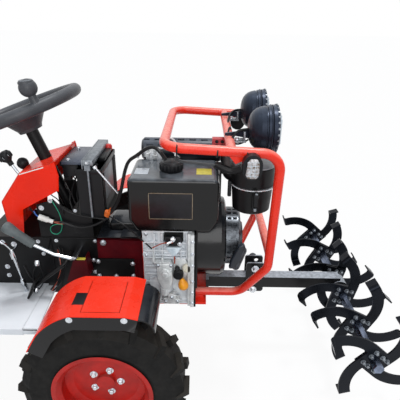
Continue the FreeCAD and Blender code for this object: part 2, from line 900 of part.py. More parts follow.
# ------------------------------------------------------------------ engine
cradle = block((ahead("gearbox_front_ahead"), ahead("cradle_front_ahead")),
               ("-cradle_half_width", "cradle_half_width"),
               ("cradle_bottom", "engine_base_height"))
cradle_web = block((ahead("gearbox_front_ahead"), ahead("gearbox_front_ahead + chassis_plate")),
                   ("-chassis_half_width", "chassis_half_width"),
                   ("engine_base_height", "chassis_top_height - chassis_plate"))
node("engine_cradle", fuse(cradle, cradle_web))

def casting_rib(x, z, side):
    """A raised rib on one side of the crankcase, between two places along X and Z."""
    depth = ("-crankcase_right - casting_rib_depth", "-crankcase_right")
    if side == "left":
        depth = ("crankcase_left", "crankcase_left + casting_rib_depth")
    return block((ahead(x[0]), ahead(x[1])), depth, z)


def crankcase():
    """The cast block: ribbed walls, a bolted foot, a filter boss and the pump's mounting face."""
    body = block((ahead("crankcase_rear_ahead"), ahead("crankcase_front_ahead")),
                 ("-crankcase_right", "crankcase_left"),
                 ("engine_base_height", "tank_bottom_height"))
    foot = ("engine_base_height", "engine_base_height + 3 * casting_rib")
    ledge = ("crank_height + casting_rib", "crank_height + 2 * casting_rib + 3")
    head_joint = ("tank_bottom_height - 2 * casting_rib", "tank_bottom_height")
    length = ("crankcase_rear_ahead", "crankcase_front_ahead")
    pieces = [body]
    for side in ("right", "left"):
        pieces += [casting_rib(length, height, side) for height in (foot, ledge, head_joint)]
        for share in (0.08, 0.2, 0.32, 0.76, 0.9):
            at = "crankcase_rear_ahead + %s * (crankcase_front_ahead - crankcase_rear_ahead)" % share
            pieces.append(casting_rib((at, at + " + casting_rib"), (ledge[1], head_joint[0]), side))
        for share in (0.04, 0.96):
            at = "crankcase_rear_ahead + %s * (crankcase_front_ahead - crankcase_rear_ahead)" % share
            pieces.append(casting_rib((at + " - casting_rib", at), (foot[1], ledge[0]), side))
    for reach, radius, at, height in (
            ("pump_reach", "pump_radius", "pump_ahead", "pump_height"),
            ("pump_bolt_reach", "pump_bolt_radius", "pump_ahead - pump_bolt_spread", "pump_height"),
            ("pump_bolt_reach", "pump_bolt_radius", "pump_ahead + pump_bolt_spread", "pump_height"),
            ("plug_reach", "oil_cap_radius", "oil_cap_ahead", "oil_cap_height"),
            ("plug_reach", "drain_radius", "drain_ahead", "drain_height"),
            ("cover_reach", "cover_radius", "cover_ahead", "cover_height")):
        pieces.append(round_bar("y", radius, reach, ahead(at), "-crankcase_right - " + reach, height))
    pieces.append(round_bar("z", "filter_boss_radius", "filter_boss_length", ahead("filter_boss_ahead"),
                            "-crankcase_right - filter_boss_reach", "filter_boss_bottom"))
    pieces.append(slab("y", [
        (ahead("pump_ahead - pump_bracket_half_width"), "pump_height - pump_bracket_top"),
        (ahead("pump_ahead + pump_bracket_half_width"), "pump_height - pump_bracket_top"),
        (ahead("pump_ahead"), "pump_height - pump_bracket_drop"),
    ], "-crankcase_right - pump_bracket_reach", "-crankcase_right"))
    return fuse(*pieces)


node("crankcase", crankcase())


def fuel_tank():
    """A moulded tank with rounded long edges, a cap neck and a ribbed cap."""
    rear = "tank_rear_ahead"
    front = "tank_front_ahead"
    shell = slab("y", [
        (ahead(rear + " + tank_low_corner * 0.6"), "tank_bottom_height"),
        (ahead(front + " - tank_low_corner * 0.6"), "tank_bottom_height"),
        (ahead(front), "tank_bottom_height + tank_low_corner"),
        (ahead(front), "tank_top_height"),
        (ahead(rear), "tank_top_height"),
        (ahead(rear), "tank_bottom_height + tank_low_corner"),
    ], "-tank_right", "tank_left")
    rounded(shell, "tank_corner * 0.8", lambda edge: edge.BoundBox.YLength > 1)
    rounded(shell, "tank_corner / 2", lambda edge: edge.BoundBox.YLength < 1)
    neck = round_bar("z", "fuel_cap_radius - 4", "fuel_cap_height",
                     ahead("fuel_cap_ahead"), "-fuel_cap_right", "tank_top_height - 4")
    cap = round_bar("z", "fuel_cap_radius", "fuel_cap_height",
                    ahead("fuel_cap_ahead"), "-fuel_cap_right", "tank_top_height + 8")
    ribs = []
    radius = get("fuel_cap_radius")
    for turn in range(0, 360, 20):
        rib = Part.makeBox(3, 4, get("fuel_cap_height") - 6, Vector(radius - 2, -2, 3))
        ribs.append(rib.rotate(Vector(), Vector(0, 0, 1), turn))
    grips = place(solid(Part.makeCompound(ribs)), ahead("fuel_cap_ahead"), "-fuel_cap_right",
                  "tank_top_height + 8")
    return fuse(shell, neck, cap, grips)


node("fuel_tank", fuel_tank())


def cylinder_block():
    """The upright cylinder with its cooling fins, head and rocker cover."""
    ends = (ahead("cylinder_rear_ahead"), ahead("cylinder_front_ahead"))
    core = block((ends[0] + " + cylinder_fin_depth", ends[1] + " - cylinder_fin_depth"),
                 ("tank_left + muffler_gap", "cylinder_left - cylinder_fin_depth"),
                 ("cylinder_bottom", "cylinder_top_height"))
    step = "(cylinder_top_height - cylinder_bottom) / cylinder_fins"
    fins = [block(ends, ("tank_left + muffler_gap", "cylinder_left"),
                  ("cylinder_bottom + %s * %s" % (number, step),
                   "cylinder_bottom + %s * %s + cylinder_fin" % (number, step)))
            for number in range(int(get("cylinder_fins")))]
    rocker = block((ahead("rocker_rear_ahead"), ahead("rocker_front_ahead")),
                   ("tank_left + muffler_gap", "muffler_left - muffler_radius - rocker_gap"),
                   ("cylinder_top_height - rocker_drop", "cylinder_top_height + rocker_rise"))
    pipe = round_bar("z", "exhaust_pipe_radius", "muffler_rise + 2 * exhaust_joint",
                     ahead("exhaust_pipe_ahead"), "muffler_left", "cylinder_top_height - exhaust_joint")
    return fuse(core, rocker, pipe, *fins)


def muffler():
    """A round silencer lying along the tractor under a heat guard with rows of slots."""
    length = "(muffler_front_ahead - muffler_rear_ahead)"
    drum = turned("x", [
        ("0", "0"),
        ("0", "muffler_radius - muffler_chamfer"),
        ("muffler_chamfer", "muffler_radius"),
        (length + " - muffler_chamfer", "muffler_radius"),
        (length, "muffler_radius - muffler_chamfer"),
        (length, "0"),
    ], ahead("muffler_rear_ahead"), "muffler_left", "muffler_base + muffler_radius")
    slots = []
    across = get("muffler_slot_width")
    count = int(get("muffler_slots"))
    reach = get("muffler_front_ahead") - get("muffler_rear_ahead")
    for turn in (-50, -15, 20, 55):
        for number in range(count):
            middle = reach * (number + 0.5 + (0.25 if turn in (-15, 55) else -0.1)) / count
            slot = Part.makeBox(get("muffler_slot_length"), across, get("muffler_radius"),
                                Vector(middle - get("muffler_slot_length") / 2, -across / 2,
                                       get("muffler_radius") - get("muffler_slot_depth")))
            slots.append(slot.rotate(Vector(), Vector(1, 0, 0), turn))
    pockets = place(solid(Part.makeCompound(slots)), ahead("muffler_rear_ahead"), "muffler_left",
                    "muffler_base + muffler_radius")
    return cut(drum, pockets)


silencer = muffler()
node("cylinder", cut(cylinder_block(), silencer))
node("muffler", silencer)


def fan_shroud():
    """The round cowl over the flywheel fan on its backplate, with the duct to the cylinder."""
    edge = "shroud_edge"
    length = "(shroud_front_ahead - shroud_rear_ahead)"
    drum = turned("x", [
        ("0", "0"),
        ("0", "shroud_radius"),
        (length + " - " + edge, "shroud_radius"),
        (length + " - 0.3 * " + edge, "shroud_radius - 0.3 * " + edge),
        (length, "shroud_radius - " + edge),
        (length, "0"),
    ], ahead("shroud_rear_ahead"), "0", "crank_height")
    backplate = block((ahead("crankcase_front_ahead"), ahead("crankcase_front_ahead + backplate")),
                      ("-shroud_radius", "shroud_radius"),
                      ("shroud_bottom_height - backplate / 2", "tank_bottom_height - muffler_gap"))
    neck = block((ahead("crankcase_front_ahead"), ahead("shroud_rear_ahead")),
                 ("-crankcase_left", "crankcase_left"),
                 ("shroud_bottom_height", "tank_bottom_height - muffler_gap"))
    duct = block((ahead("cylinder_front_ahead + muffler_gap"), ahead("shroud_front_ahead - shroud_edge")),
                 ("tank_left + muffler_gap", "shroud_radius"),
                 ("crank_height", "cylinder_top_height"))
    below = block((ahead("crankcase_front_ahead"), ahead("shroud_front_ahead")),
                  ("-shroud_radius", "shroud_radius"),
                  ("engine_base_height", "shroud_bottom_height - backplate / 2"))
    under_tank = block((ahead("crankcase_front_ahead"), ahead("tank_front_ahead + muffler_gap")),
                       ("-shroud_radius", "tank_left + muffler_gap"),
                       ("tank_bottom_height - muffler_gap", "tank_top_height"))
    return cut(fuse(drum, backplate, neck, duct), below, under_tank)


node("fan_shroud", fan_shroud())


def recoil_starter():
    """The pull starter's drum, its wall cut by rows of air slots, and the grip at its side."""
    drum = turned("x", [
        ("0", "0"),
        ("0", "starter_radius"),
        ("starter_depth * 0.7", "starter_radius"),
        ("starter_depth * 0.82", "starter_radius - 10"),
        ("starter_depth * 0.82", "starter_nose_radius"),
        ("starter_depth", "starter_nose_radius - 12"),
        ("starter_depth", "0"),
    ], ahead("shroud_front_ahead"), "0", "crank_height")
    radius = get("starter_radius")
    width = get("starter_slot_width")
    deep = get("starter_slot_depth")
    slots = []
    for row in (0.1, 0.4):
        for number in range(int(get("starter_slots"))):
            slot = Part.makeBox(get("starter_slot_length"), width, 2 * deep,
                                Vector(row * get("starter_depth"), -width / 2, radius - deep))
            slots.append(slot.rotate(Vector(), Vector(1, 0, 0), number * 360 / get("starter_slots")))
    pockets = place(solid(Part.makeCompound(slots)), ahead("shroud_front_ahead"), "0", "crank_height")
    grip_radius = get("pull_grip_radius")
    grip = Part.makeCylinder(grip_radius, get("pull_grip_length"), Vector(0, 0, -get("pull_grip_length") / 2))
    for end in (-1, 1):
        tip = Part.makeSphere(grip_radius, Vector(0, 0, end * get("pull_grip_length") / 2))
        grip = grip.fuse(tip)
    stalk = straight(Vector(0, 0, 0), Vector(0, 2 * grip_radius, 0), grip_radius / 2)
    handle = grip.rotate(Vector(), Vector(0, 1, 0), get("pull_grip_lean")).fuse(stalk)
    pull = place(solid(handle), ahead("shroud_front_ahead + starter_depth * 0.75"),
                 "-starter_radius - pull_grip_radius + 2", "crank_height - 30")
    return fuse(cut(drum, pockets), pull)


node("recoil_starter", recoil_starter())


def air_filter():
    """A round two-part canister with a band and a clip, and its elbow to the cylinder head."""
    height = "(filter_top_height - filter_bottom_height)"
    band = "(filter_band_height - filter_bottom_height)"
    canister = turned("z", [
        ("0", "0"),
        ("0", "filter_radius - 18"),
        ("6", "filter_radius - 10"),
        (band + " - 6", "filter_radius - 4"),
        (band + " - 3", "filter_radius + filter_band_step / 2"),
        (band + " + 3", "filter_radius + filter_band_step / 2"),
        (band + " + 6", "filter_radius"),
        (height + " - 10", "filter_radius"),
        (height, "filter_radius - 10"),
        (height, "0"),
    ], ahead("filter_ahead"), "-filter_right", "filter_bottom_height")
    clip = block((ahead("filter_ahead - 7"), ahead("filter_ahead + 7")),
                 ("-filter_right - filter_radius - 8", "-filter_right - filter_radius + 10"),
                 ("filter_band_height - 66", "filter_band_height + 8"))
    base = get("front_axle_x")
    level = get("intake_height")
    side = -get("filter_right")
    elbow = solid(tube([
        Vector(base + get("filter_ahead"), side, level),
        Vector(base + get("intake_ahead"), side, level),
        Vector(base + get("intake_ahead"), get("muffler_left") - get("muffler_radius"), level),
    ], get("intake_radius"), get("intake_bend")))
    stub = block((ahead("intake_ahead - intake_radius"), ahead("intake_ahead + intake_radius")),
                 ("tank_left + 2", "muffler_left - muffler_radius + 4"),
                 ("cylinder_top_height", "intake_height"))
    return fuse(canister, clip, elbow, stub)


node("air_filter", cut(air_filter(), silencer))


# ------------------------------------------------------------- guard and lamps
def guard_frame():
    """One tube bent into the legs and the top loop, with two cross tubes and feet."""
    radius = get("guard_tube_radius")
    base = get("front_axle_x")
    right_side = [
        Vector(base + get("guard_foot_rear_ahead"), -get("guard_foot_half_width"), get("guard_foot_height")),
        Vector(base + get("guard_foot_ahead"), -get("guard_foot_half_width"), get("guard_foot_height")),
        Vector(base + get("guard_knee_ahead"), -get("guard_knee_half_width"), get("guard_knee_height")),
        Vector(base + get("guard_front_ahead"), -get("guard_half_width"), get("guard_front_height")),
        Vector(base + get("guard_rear_ahead"), -get("guard_half_width"), get("guard_rear_height")),
    ]
    left_side = [Vector(point.x, -point.y, point.z) for point in reversed(right_side)]
    loop = tube(right_side + left_side, radius, get("guard_bend"))
    knee = right_side[2]
    front = right_side[3]
    share = (get("guard_cross_low_height") - knee.z) / (front.z - knee.z)
    low = knee + (front - knee) * share
    low_cross = straight(low, Vector(low.x, -low.y, low.z), radius)
    cross_x = base + get("guard_cross_ahead")
    cross_z = get("guard_cross_height")
    half = get("guard_half_width")
    top_cross = straight(Vector(cross_x, -half, cross_z), Vector(cross_x, half, cross_z), radius)
    pieces = [low_cross, top_cross]
    foot_base = get("engine_base_height")
    for side in (-1, 1):
        pieces.append(Part.makeBox(36, radius, get("guard_foot_height") - foot_base,
                                   Vector(base + get("guard_foot_rear_ahead"),
                                          side * get("guard_foot_half_width") - radius / 2, foot_base)))
    return loop.fuse(pieces)


node("guard_frame", solid(guard_frame()))


def headlamp(side):
    """A round lamp with a domed back, a grooved rim and a bulging glass, facing forward."""
    dome = [("-headlamp_depth * cos(%d) ^ 0.75" % turn, "headlamp_radius * 0.95 * sin(%d) ^ 0.75" % turn)
            for turn in (1, 5, 12, 22, 34, 46, 58, 70)]
    glass = [("headlamp_rim * (1.45 + 0.6 * cos(%d))" % turn, "headlamp_radius * 0.88 * sin(%d)" % turn)
             for turn in (90, 66, 44, 22)]
    return turned("x", [("-headlamp_depth", "0")] + dome + [
        ("-headlamp_rim * 0.9", "headlamp_radius * 0.95"),
        ("-headlamp_rim * 0.8", "headlamp_radius * 0.92"),
        ("-headlamp_rim * 0.6", "headlamp_radius * 0.92"),
        ("-headlamp_rim * 0.5", "headlamp_radius * 0.97"),
        ("0", "headlamp_radius * 0.98"),
        ("headlamp_rim * 0.1", "headlamp_radius * 0.95"),
        ("headlamp_rim * 0.3", "headlamp_radius * 0.95"),
        ("headlamp_rim * 0.4", "headlamp_radius"),
        ("headlamp_rim * 1.2", "headlamp_radius"),
        ("headlamp_rim * 1.45", "headlamp_radius * 0.95"),
    ] + glass + [("headlamp_rim * 2.05", "0")],
        ahead("headlamp_ahead"), "%s * headlamp_half_spacing" % side, "headlamp_height")


def lamp_bracket(side):
    """A foot that stands on the cross tube and a web that runs up to the lamp's back."""
    low = "guard_cross_height + guard_tube_radius"
    middle = "%s * headlamp_half_spacing" % side
    return slab("y", [
        (ahead("guard_cross_ahead - guard_tube_radius"), low),
        (ahead("guard_cross_ahead + guard_tube_radius"), low),
        (ahead("headlamp_ahead - headlamp_depth / 2"), "headlamp_height - headlamp_radius / 2"),
        (ahead("headlamp_ahead - headlamp_depth / 2"), "headlamp_height"),
        (ahead("guard_cross_ahead - guard_tube_radius"), low + " + lamp_arm"),
    ], middle + " - lamp_arm / 2", middle + " + lamp_arm / 2")


node("headlamps", together(fuse(headlamp("-1"), lamp_bracket("-1")), fuse(headlamp("1"), lamp_bracket("1"))))


def marker_lamp():
    """An upright oval lamp on the outer side of the top rail."""
    across = ("guard_half_width + guard_tube_radius", "guard_half_width + guard_tube_radius + marker_depth")
    ends = [round_bar("y", "marker_radius", "marker_depth", ahead("marker_ahead"), across[0],
                      "guard_front_height - marker_drop %s marker_rise" % sign) for sign in ("-", "+")]
    middle = block((ahead("marker_ahead - marker_radius"), ahead("marker_ahead + marker_radius")), across,
                   ("guard_front_height - marker_drop - marker_rise",
                    "guard_front_height - marker_drop + marker_rise"))
    return fuse(middle, *ends)


node("marker_lamps", both_sides(marker_lamp()))


# ------------------------------------------------------- cowl, console, battery
def dash_cowl():
    """A bent sheet over the steering column, with closed sides and rounded corners, open below."""
    corners = ["lip", "front", "top_rear", "back"]
    outer = [(behind("cowl_%s_behind" % corner), "cowl_%s_height" % corner) for corner in corners] + [
        (behind("cowl_bottom_rear_behind"), "cowl_bottom_height"),
        (behind("cowl_notch_behind + cowl_corner"), "cowl_bottom_height"),
        (behind("cowl_notch_behind"), "cowl_notch_height"),
    ]
    slope = "(cowl_front_height - cowl_top_rear_height) / (cowl_top_rear_behind - cowl_front_behind)"
    open_front = behind("cowl_front_behind - 2 * cowl_corner")
    open_below = "cowl_bottom_height - 2 * cowl_corner"
    inner = [
        (open_front, open_below),
        (open_front, "cowl_front_height - 1.1 * cowl_sheet + 2 * cowl_corner * " + slope),
        (behind("cowl_top_rear_behind - cowl_sheet / 2"), "cowl_top_rear_height - 1.1 * cowl_sheet"),
        (behind("cowl_back_behind - cowl_sheet"), "cowl_back_height"),
        (behind("cowl_bottom_rear_behind - cowl_sheet"), open_below),
    ]
    bends = [Vector(get("front_axle_x") - get("cowl_%s_behind" % name), 0, get("cowl_%s_height" % name))
             for name in ("front", "top_rear", "back")]
    bends.append(Vector(get("front_axle_x") - get("cowl_bottom_rear_behind"), 0, get("cowl_bottom_height")))
    middles = [(first + second) / 2 for first, second in zip(bends, bends[1:])] + bends[1:3]

    def on_the_bend(edge):
        centre = edge.CenterOfMass
        return any(math.hypot(centre.x - middle.x, centre.z - middle.z) < 1 for middle in middles)

    shell = slab("y", outer, "-cowl_half_width", "cowl_half_width")
    rounded(shell, "cowl_corner", on_the_bend)
    hollow = slab("y", inner, "-cowl_half_width + cowl_sheet", "cowl_half_width - cowl_sheet")
    rounded(hollow, "cowl_corner - cowl_sheet", lambda edge: True)
    lip = block((behind("cowl_front_behind + cowl_sheet"), behind("cowl_front_behind - cowl_sheet")),
                ("-cowl_half_width + cowl_corner", "cowl_half_width - cowl_corner"),
                ("cowl_front_height - 4 * cowl_sheet", "cowl_front_height + cowl_sheet / 2"))
    passage = doc.addObject("Part::Cylinder", "column_passage")
    passage.setExpression("Radius", linked("column_radius + column_gap"))
    passage.setExpression("Height", linked("column_length"))
    steering_place(passage, "-column_length")
    return cut(fuse(cut(shell, hollow), lip), passage)


def steering_place(item, along):
    """Stand a piece on the steering axis, some way along it from the wheel's centre."""
    item.Placement = Placement(Vector(), Rotation(Vector(0, -1, 0), 1))
    item.setExpression("Placement.Rotation.Angle", linked("steering_tilt"))
    return place(item, behind("steering_behind + (%s) * sin(steering_tilt)" % along), "0",
                 "steering_height + (%s) * cos(steering_tilt)" % along)


node("dash_cowl", dash_cowl())


def console():
    """Side plates and the shelf that carries the battery and the switch plate."""
    side = block((behind("console_rear_behind"), behind("gearbox_rear_behind + chassis_plate")),
                 ("console_half_width - console_wall", "console_half_width"),
                 ("chassis_top_height", "console_shelf_height - console_wall"))
    shelf = block((behind("console_rear_behind"), behind("console_front_behind")),
                  ("-console_half_width", "console_half_width"),
                  ("console_shelf_height - console_wall", "console_shelf_height"))
    post = block((behind("battery_rear_behind + 3 + console_wall"), behind("battery_rear_behind + 3")),
                 ("-switch_plate_half_width", "switch_plate_half_width"),
                 ("console_shelf_height", "switch_plate_bottom"))
    gusset = slab("y", [
        (behind("console_rear_behind + gusset_rear"), "chassis_top_height"),
        (behind("console_rear_behind + gusset_rear"), "console_shelf_height + gusset_rise * 0.7"),
        (behind("console_rear_behind + gusset_rear / 2"), "console_shelf_height + gusset_rise"),
        (behind("console_rear_behind - gusset_rear / 2"), "console_shelf_height - console_wall"),
        (behind("console_rear_behind - gusset_rear / 2"), "chassis_top_height"),
    ], "console_half_width - console_wall", "console_half_width")
    return fuse(side, mirrored(side), gusset, mirrored(gusset), shelf, post)


node("console", console())
node("switch_plate", block(
    (behind("switch_plate_rear_behind"), behind("switch_plate_front_behind")),
    ("-switch_plate_half_width", "switch_plate_half_width"),
    ("switch_plate_bottom", "switch_plate_bottom + switch_plate_thickness")))


def battery():
    case = block((behind("battery_rear_behind"), behind("battery_front_behind")),
                 ("-battery_half_width", "battery_half_width"),
                 ("console_shelf_height", "console_shelf_height + battery_height"))
    pole = round_bar("z", "battery_terminal_radius", "battery_terminal_height",
                     behind("battery_front_behind + battery_terminal_inset"),
                     "battery_half_width - battery_terminal_inset",
                     "console_shelf_height + battery_height")
    return fuse(case, pole, mirrored(pole))


node("battery", battery())


def battery_clamp():
    """A bar over the battery held by two long hooked rods."""
    middle = "(battery_front_behind + battery_rear_behind) / 2"
    bar = block((behind(middle + " + clamp_bar / 2"), behind(middle + " - clamp_bar / 2")),
                ("-battery_half_width - clamp_overhang", "battery_half_width + clamp_overhang"),
                ("clamp_top - clamp_bar", "clamp_top"))
    rod = round_bar("z", "clamp_rod_radius", "clamp_bar + battery_height + 14",
                    behind(middle), "battery_half_width + clamp_overhang / 2", "console_shelf_height")
    return fuse(bar, rod, mirrored(rod))


node("battery_clamp", battery_clamp())


def steering_column():
    """The slanted tube, cut off flat where it stands on the frame's top plate."""
    jacket = doc.addObject("Part::Cylinder", "jacket")
    jacket.setExpression("Radius", linked("column_radius"))
    jacket.setExpression("Height", linked("column_length + 60"))
    steering_place(jacket, "-column_length - 60 - steering_dish - steering_hub_height - column_gap")
    below = block((behind("cowl_back_behind"), behind("0")), ("-cowl_half_width", "cowl_half_width"),
                  ("chassis_bottom_height - 100", "chassis_top_height"))
    return cut(jacket, below)


node("steering_column", steering_column())


def steering_wheel():
    """The grip ring, three spokes, the hub below them and the spinner knob."""
    grip = doc.addObject("Part::Torus", "grip")
    grip.setExpression("Radius1", linked("steering_rim_radius"))
    grip.setExpression("Radius2", linked("steering_grip_radius"))
    hub = turned("z", [
        ("-steering_dish - steering_hub_height", "0"),
        ("-steering_dish - steering_hub_height", "steering_hub_low_radius"),
        ("-steering_dish - steering_hub_height * 0.8", "steering_hub_low_radius + 4"),
        ("-steering_dish", "steering_hub_radius"),
        ("-steering_dish + 10", "steering_hub_radius"),
        ("-steering_dish + 18", "steering_hub_radius - 12"),
        ("-steering_dish + 18", "0"),
    ])
    across = "steering_rim_radius * sin(spinner_turn)"
    out = "-steering_rim_radius * cos(spinner_turn)"
    stem = doc.addObject("Part::Cone", "stem")
    stem.setExpression("Radius1", linked("steering_grip_radius * 0.85"))
    stem.setExpression("Radius2", linked("steering_grip_radius * 0.6"))
    stem.setExpression("Height", linked("steering_grip_radius + spinner_stem"))
    place(stem, across, out, "0")
    knob = doc.addObject("Part::Sphere", "knob")
    knob.setExpression("Radius", linked("spinner_radius"))
    place(knob, across, out, "steering_grip_radius + spinner_stem + spinner_radius * 0.8")
    return fuse(grip, hub, stem, knob)


def steering_spokes():
    """Flat bars that rise from the hub to the ring."""
    rim = get("steering_rim_radius")
    hub = get("steering_hub_radius")
    thick = get("steering_spoke_thickness")
    wide = get("steering_spoke_width")
    dish = get("steering_dish")
    side_line = [Vector(hub - 4, 0, -dish + 2), Vector(hub + 20, 0, -dish + 2), Vector(rim, 0, -thick / 2),
                 Vector(rim, 0, thick / 2), Vector(hub + 20, 0, -dish + 2 + thick),
                 Vector(hub - 4, 0, -dish + 2 + thick)]
    spoke = Part.Face(Part.makePolygon(side_line + side_line[:1])).extrude(Vector(0, wide, 0))
    spoke.translate(Vector(0, -wide / 2, 0))
    spokes = [spoke.copy().rotate(Vector(), Vector(0, 0, 1), turn) for turn in (90, 210, 330)]
    return spokes


wheel_ring = steering_wheel()
spoke_bars = solid(Part.makeCompound(steering_spokes()))
node("steering_spokes", steering_place(cut(spoke_bars, wheel_ring), "0"))
node("steering_wheel", steering_place(together(wheel_ring), "0"))


# --------------------------------------------------- footboards, pedals, levers
def footboard():
    """A tread plate with a turned-down outer edge, carried by the frame's side."""
    tread = block((behind("footboard_rear_behind"), behind("footboard_front_behind")),
                  ("chassis_half_width", "footboard_outer"),
                  ("footboard_top_height - footboard_thickness", "footboard_top_height"))
    lip = block((behind("footboard_rear_behind"), behind("footboard_front_behind")),
                ("footboard_outer - footboard_thickness", "footboard_outer"),
                ("footboard_top_height - footboard_lip", "footboard_top_height"))
    return fuse(tread, lip)


node("footboards", both_sides(footboard()))


def pedal():
    """A pad on a bent arm that comes out of the frame's side."""
    base = get("front_axle_x")
    out = get("pedal_out")
    radius = get("lever_radius")
    pad_x = base - get("pedal_behind")
    shoulder = Vector(base - get("pedal_arm_behind"), out, get("pedal_arm_height"))
    start = Vector(shoulder.x, get("chassis_half_width"), shoulder.z)
    end = Vector(pad_x, out, get("pedal_height"))
    arm = tube([start, shoulder, end], radius, 3 * radius)
    pad = Part.makeBox(get("pedal_thickness"), get("pedal_pad_width"), get("pedal_pad_length"),
                       Vector(-get("pedal_thickness"), -get("pedal_pad_width") / 2,
                              -get("pedal_pad_length") / 2))
    pad.rotate(Vector(), Vector(0, 1, 0), get("pedal_lean"))
    pad.translate(end)
    return arm.fuse(pad)


node("pedals", both_sides(solid(pedal())))


def hand_lever():
    """The long lever at the right: a cranked rod out of its bracket with a round rubber grip."""
    base = get("front_axle_x")
    out = -get("hand_lever_out")
    radius = get("lever_radius")

    def point(name, height):
        return Vector(base - get("hand_lever_%s_behind" % name), out, height)

    foot = point("foot", get("hand_lever_foot_height"))
    flat = get("hand_lever_foot_height") + get("hand_lever_rise")
    grip = point("grip", get("hand_lever_grip_height"))
    end = point("end", get("hand_lever_end_height"))
    rod = tube([Vector(foot.x, -get("chassis_half_width"), foot.z), foot,
                point("flat", flat), grip, end], radius, 3 * radius)
    handle = straight(grip, end, get("hand_lever_grip_radius"))
    return rod.fuse([handle, Part.makeSphere(get("hand_lever_grip_radius") + 3, end, end - grip)])


def knob_lever(name, cowl):
    """A short rod out of the cowl's top with a ball knob."""
    centre = Vector(get("front_axle_x") - get(name + "_knob_behind"), -get(name + "_knob_out"),
                    get(name + "_knob_height"))
    lean = math.radians(get("knob_rod_lean"))
    length = get("knob_rod_length")
    foot = centre + Vector(length * math.sin(lean), 0, -length * math.cos(lean))
    ball = Part.makeSphere(get("lever_knob_radius"), centre, centre - foot)
    return cut(solid(straight(foot, centre, get("brake_rod_radius") + 1).fuse(ball)), cowl)


def brake_rod():
    """A thin upright rod between two forked ends beside the frame."""
    base = get("front_axle_x")
    out = -get("brake_rod_out")
    radius = get("brake_rod_radius")
    top = Vector(base - get("brake_rod_top_behind"), out, get("brake_rod_top_height"))
    foot = Vector(base - get("brake_rod_foot_behind"), out, get("footboard_top_height"))
    low = foot + Vector(0, 0, 3 * radius)
    way = (top - low).normalize()
    fork = 6 * radius
    pieces = [straight(top - way * fork, top, 2 * radius), straight(low, low + way * fork, 2 * radius),
              straight(foot, low, 2 * radius)]
    pin = straight(Vector(top.x, out, top.z), Vector(top.x, -get("chassis_half_width"), top.z), radius)
    return straight(low, top, radius).fuse(pieces + [pin])


def cowl_block():
    """The whole space that the cowl covers, which trims the rods that come out of its top."""
    corners = ["lip", "front", "top_rear", "back", "bottom_rear"]
    outline = [(behind("cowl_%s_behind" % corner),
                "cowl_bottom_height" if corner == "bottom_rear" else "cowl_%s_height" % corner)
               for corner in corners] + [(behind("cowl_lip_behind"), "cowl_bottom_height")]
    return slab("y", outline, "-cowl_half_width", "cowl_half_width")


covered = cowl_block()
node("control_levers", together(solid(hand_lever()), knob_lever("gear", covered),
                                knob_lever("range", covered), solid(brake_rod())))


def lever_bracket():
    """The folded plate box beside the frame that carries the long lever."""
    outline = [
        (behind("hand_lever_foot_behind + 52"), "hand_lever_foot_height - 120"),
        (behind("hand_lever_foot_behind + 19"), "hand_lever_foot_height - 26"),
        (behind("hand_lever_foot_behind - 30"), "hand_lever_foot_height - 16"),
        (behind("hand_lever_foot_behind - 40"), "hand_lever_foot_height - 94"),
    ]
    cheek = slab("y", outline, "-hand_lever_out + 26", "-hand_lever_out + 26 + lever_plate")
    floor = slab("y", [outline[3], outline[2],
                       (outline[2][0] + " - lever_plate", outline[2][1]),
                       (outline[3][0] + " - lever_plate", outline[3][1])],
                 "-hand_lever_out + 26", "-chassis_half_width")
    return fuse(cheek, floor)


node("lever_bracket", lever_bracket())


# --------------------------------------------------------- tool bar and rotor
def tool_bar():
    """A square bar from the cradle to the rotor's bearing, with its end plate and pin plates."""
    plate = block((ahead("cradle_front_ahead"), ahead("cradle_front_ahead + bar_gap + 6")),
                  ("-bar_size", "bar_size"),
                  ("bar_height - bar_size / 2", "engine_base_height + bar_size / 2"))
    bar = block((ahead("cradle_front_ahead"), ahead("rotor_ahead")),
                ("-bar_size / 2", "bar_size / 2"),
                ("bar_height - bar_size / 2", "bar_height + bar_size / 2"))
    cheek = slab("y", [
        (ahead("bar_plate_rear_ahead"), "bar_plate_bottom_height"),
        (ahead("bar_plate_rear_ahead"), "bar_plate_top_height"),
        (ahead("bar_plate_front_ahead"), "bar_plate_top_height"),
        (ahead("bar_plate_front_ahead"), "bar_plate_bottom_height"),
    ], "bar_size / 2", "bar_size / 2 + bar_plate")
    rounded(cheek, "bar_plate_corner", lambda edge: edge.BoundBox.YLength > 1)
    pin_hole = round_bar("y", "bar_pin_radius", "2 * bar_size", ahead("bar_pin_ahead"),
                         "-bar_size", "bar_pin_height")
    housing = round_bar("y", "bearing_radius", "2 * bearing_half_width",
                        "rotor_x", "-bearing_half_width", "rotor_height")
    bore = round_bar("y", "tine_journal_radius + bearing_clearance", "4 * bearing_half_width",
                     "rotor_x", "-2 * bearing_half_width", "rotor_height")
    return cut(fuse(plate, bar, cheek, mirrored(cheek), housing), bore, pin_hole)


node("tool_bar", tool_bar())


def rotor_shaft():
    """A hexagonal shaft with a round journal in its bearing."""
    halves = []
    for low, high in (("-rotor_half_width", "-bearing_half_width - 1"),
                      ("bearing_half_width + 1", "rotor_half_width")):
        prism = doc.addObject("Part::Prism", "hexagon")
        prism.Polygon = 6
        prism.Placement = Placement(Vector(), TURNS["y"])
        prism.setExpression("Circumradius", linked("rotor_shaft_across / sqrt(3)"))
        prism.setExpression("Height", linked("(%s) - (%s)" % (high, low)))
        halves.append(place(prism, "rotor_x", low, "rotor_height"))
    journal = round_bar("y", "tine_journal_radius", "2 * bearing_half_width + 2",
                        "rotor_x", "-bearing_half_width - 1", "rotor_height")
    return fuse(journal, *halves)


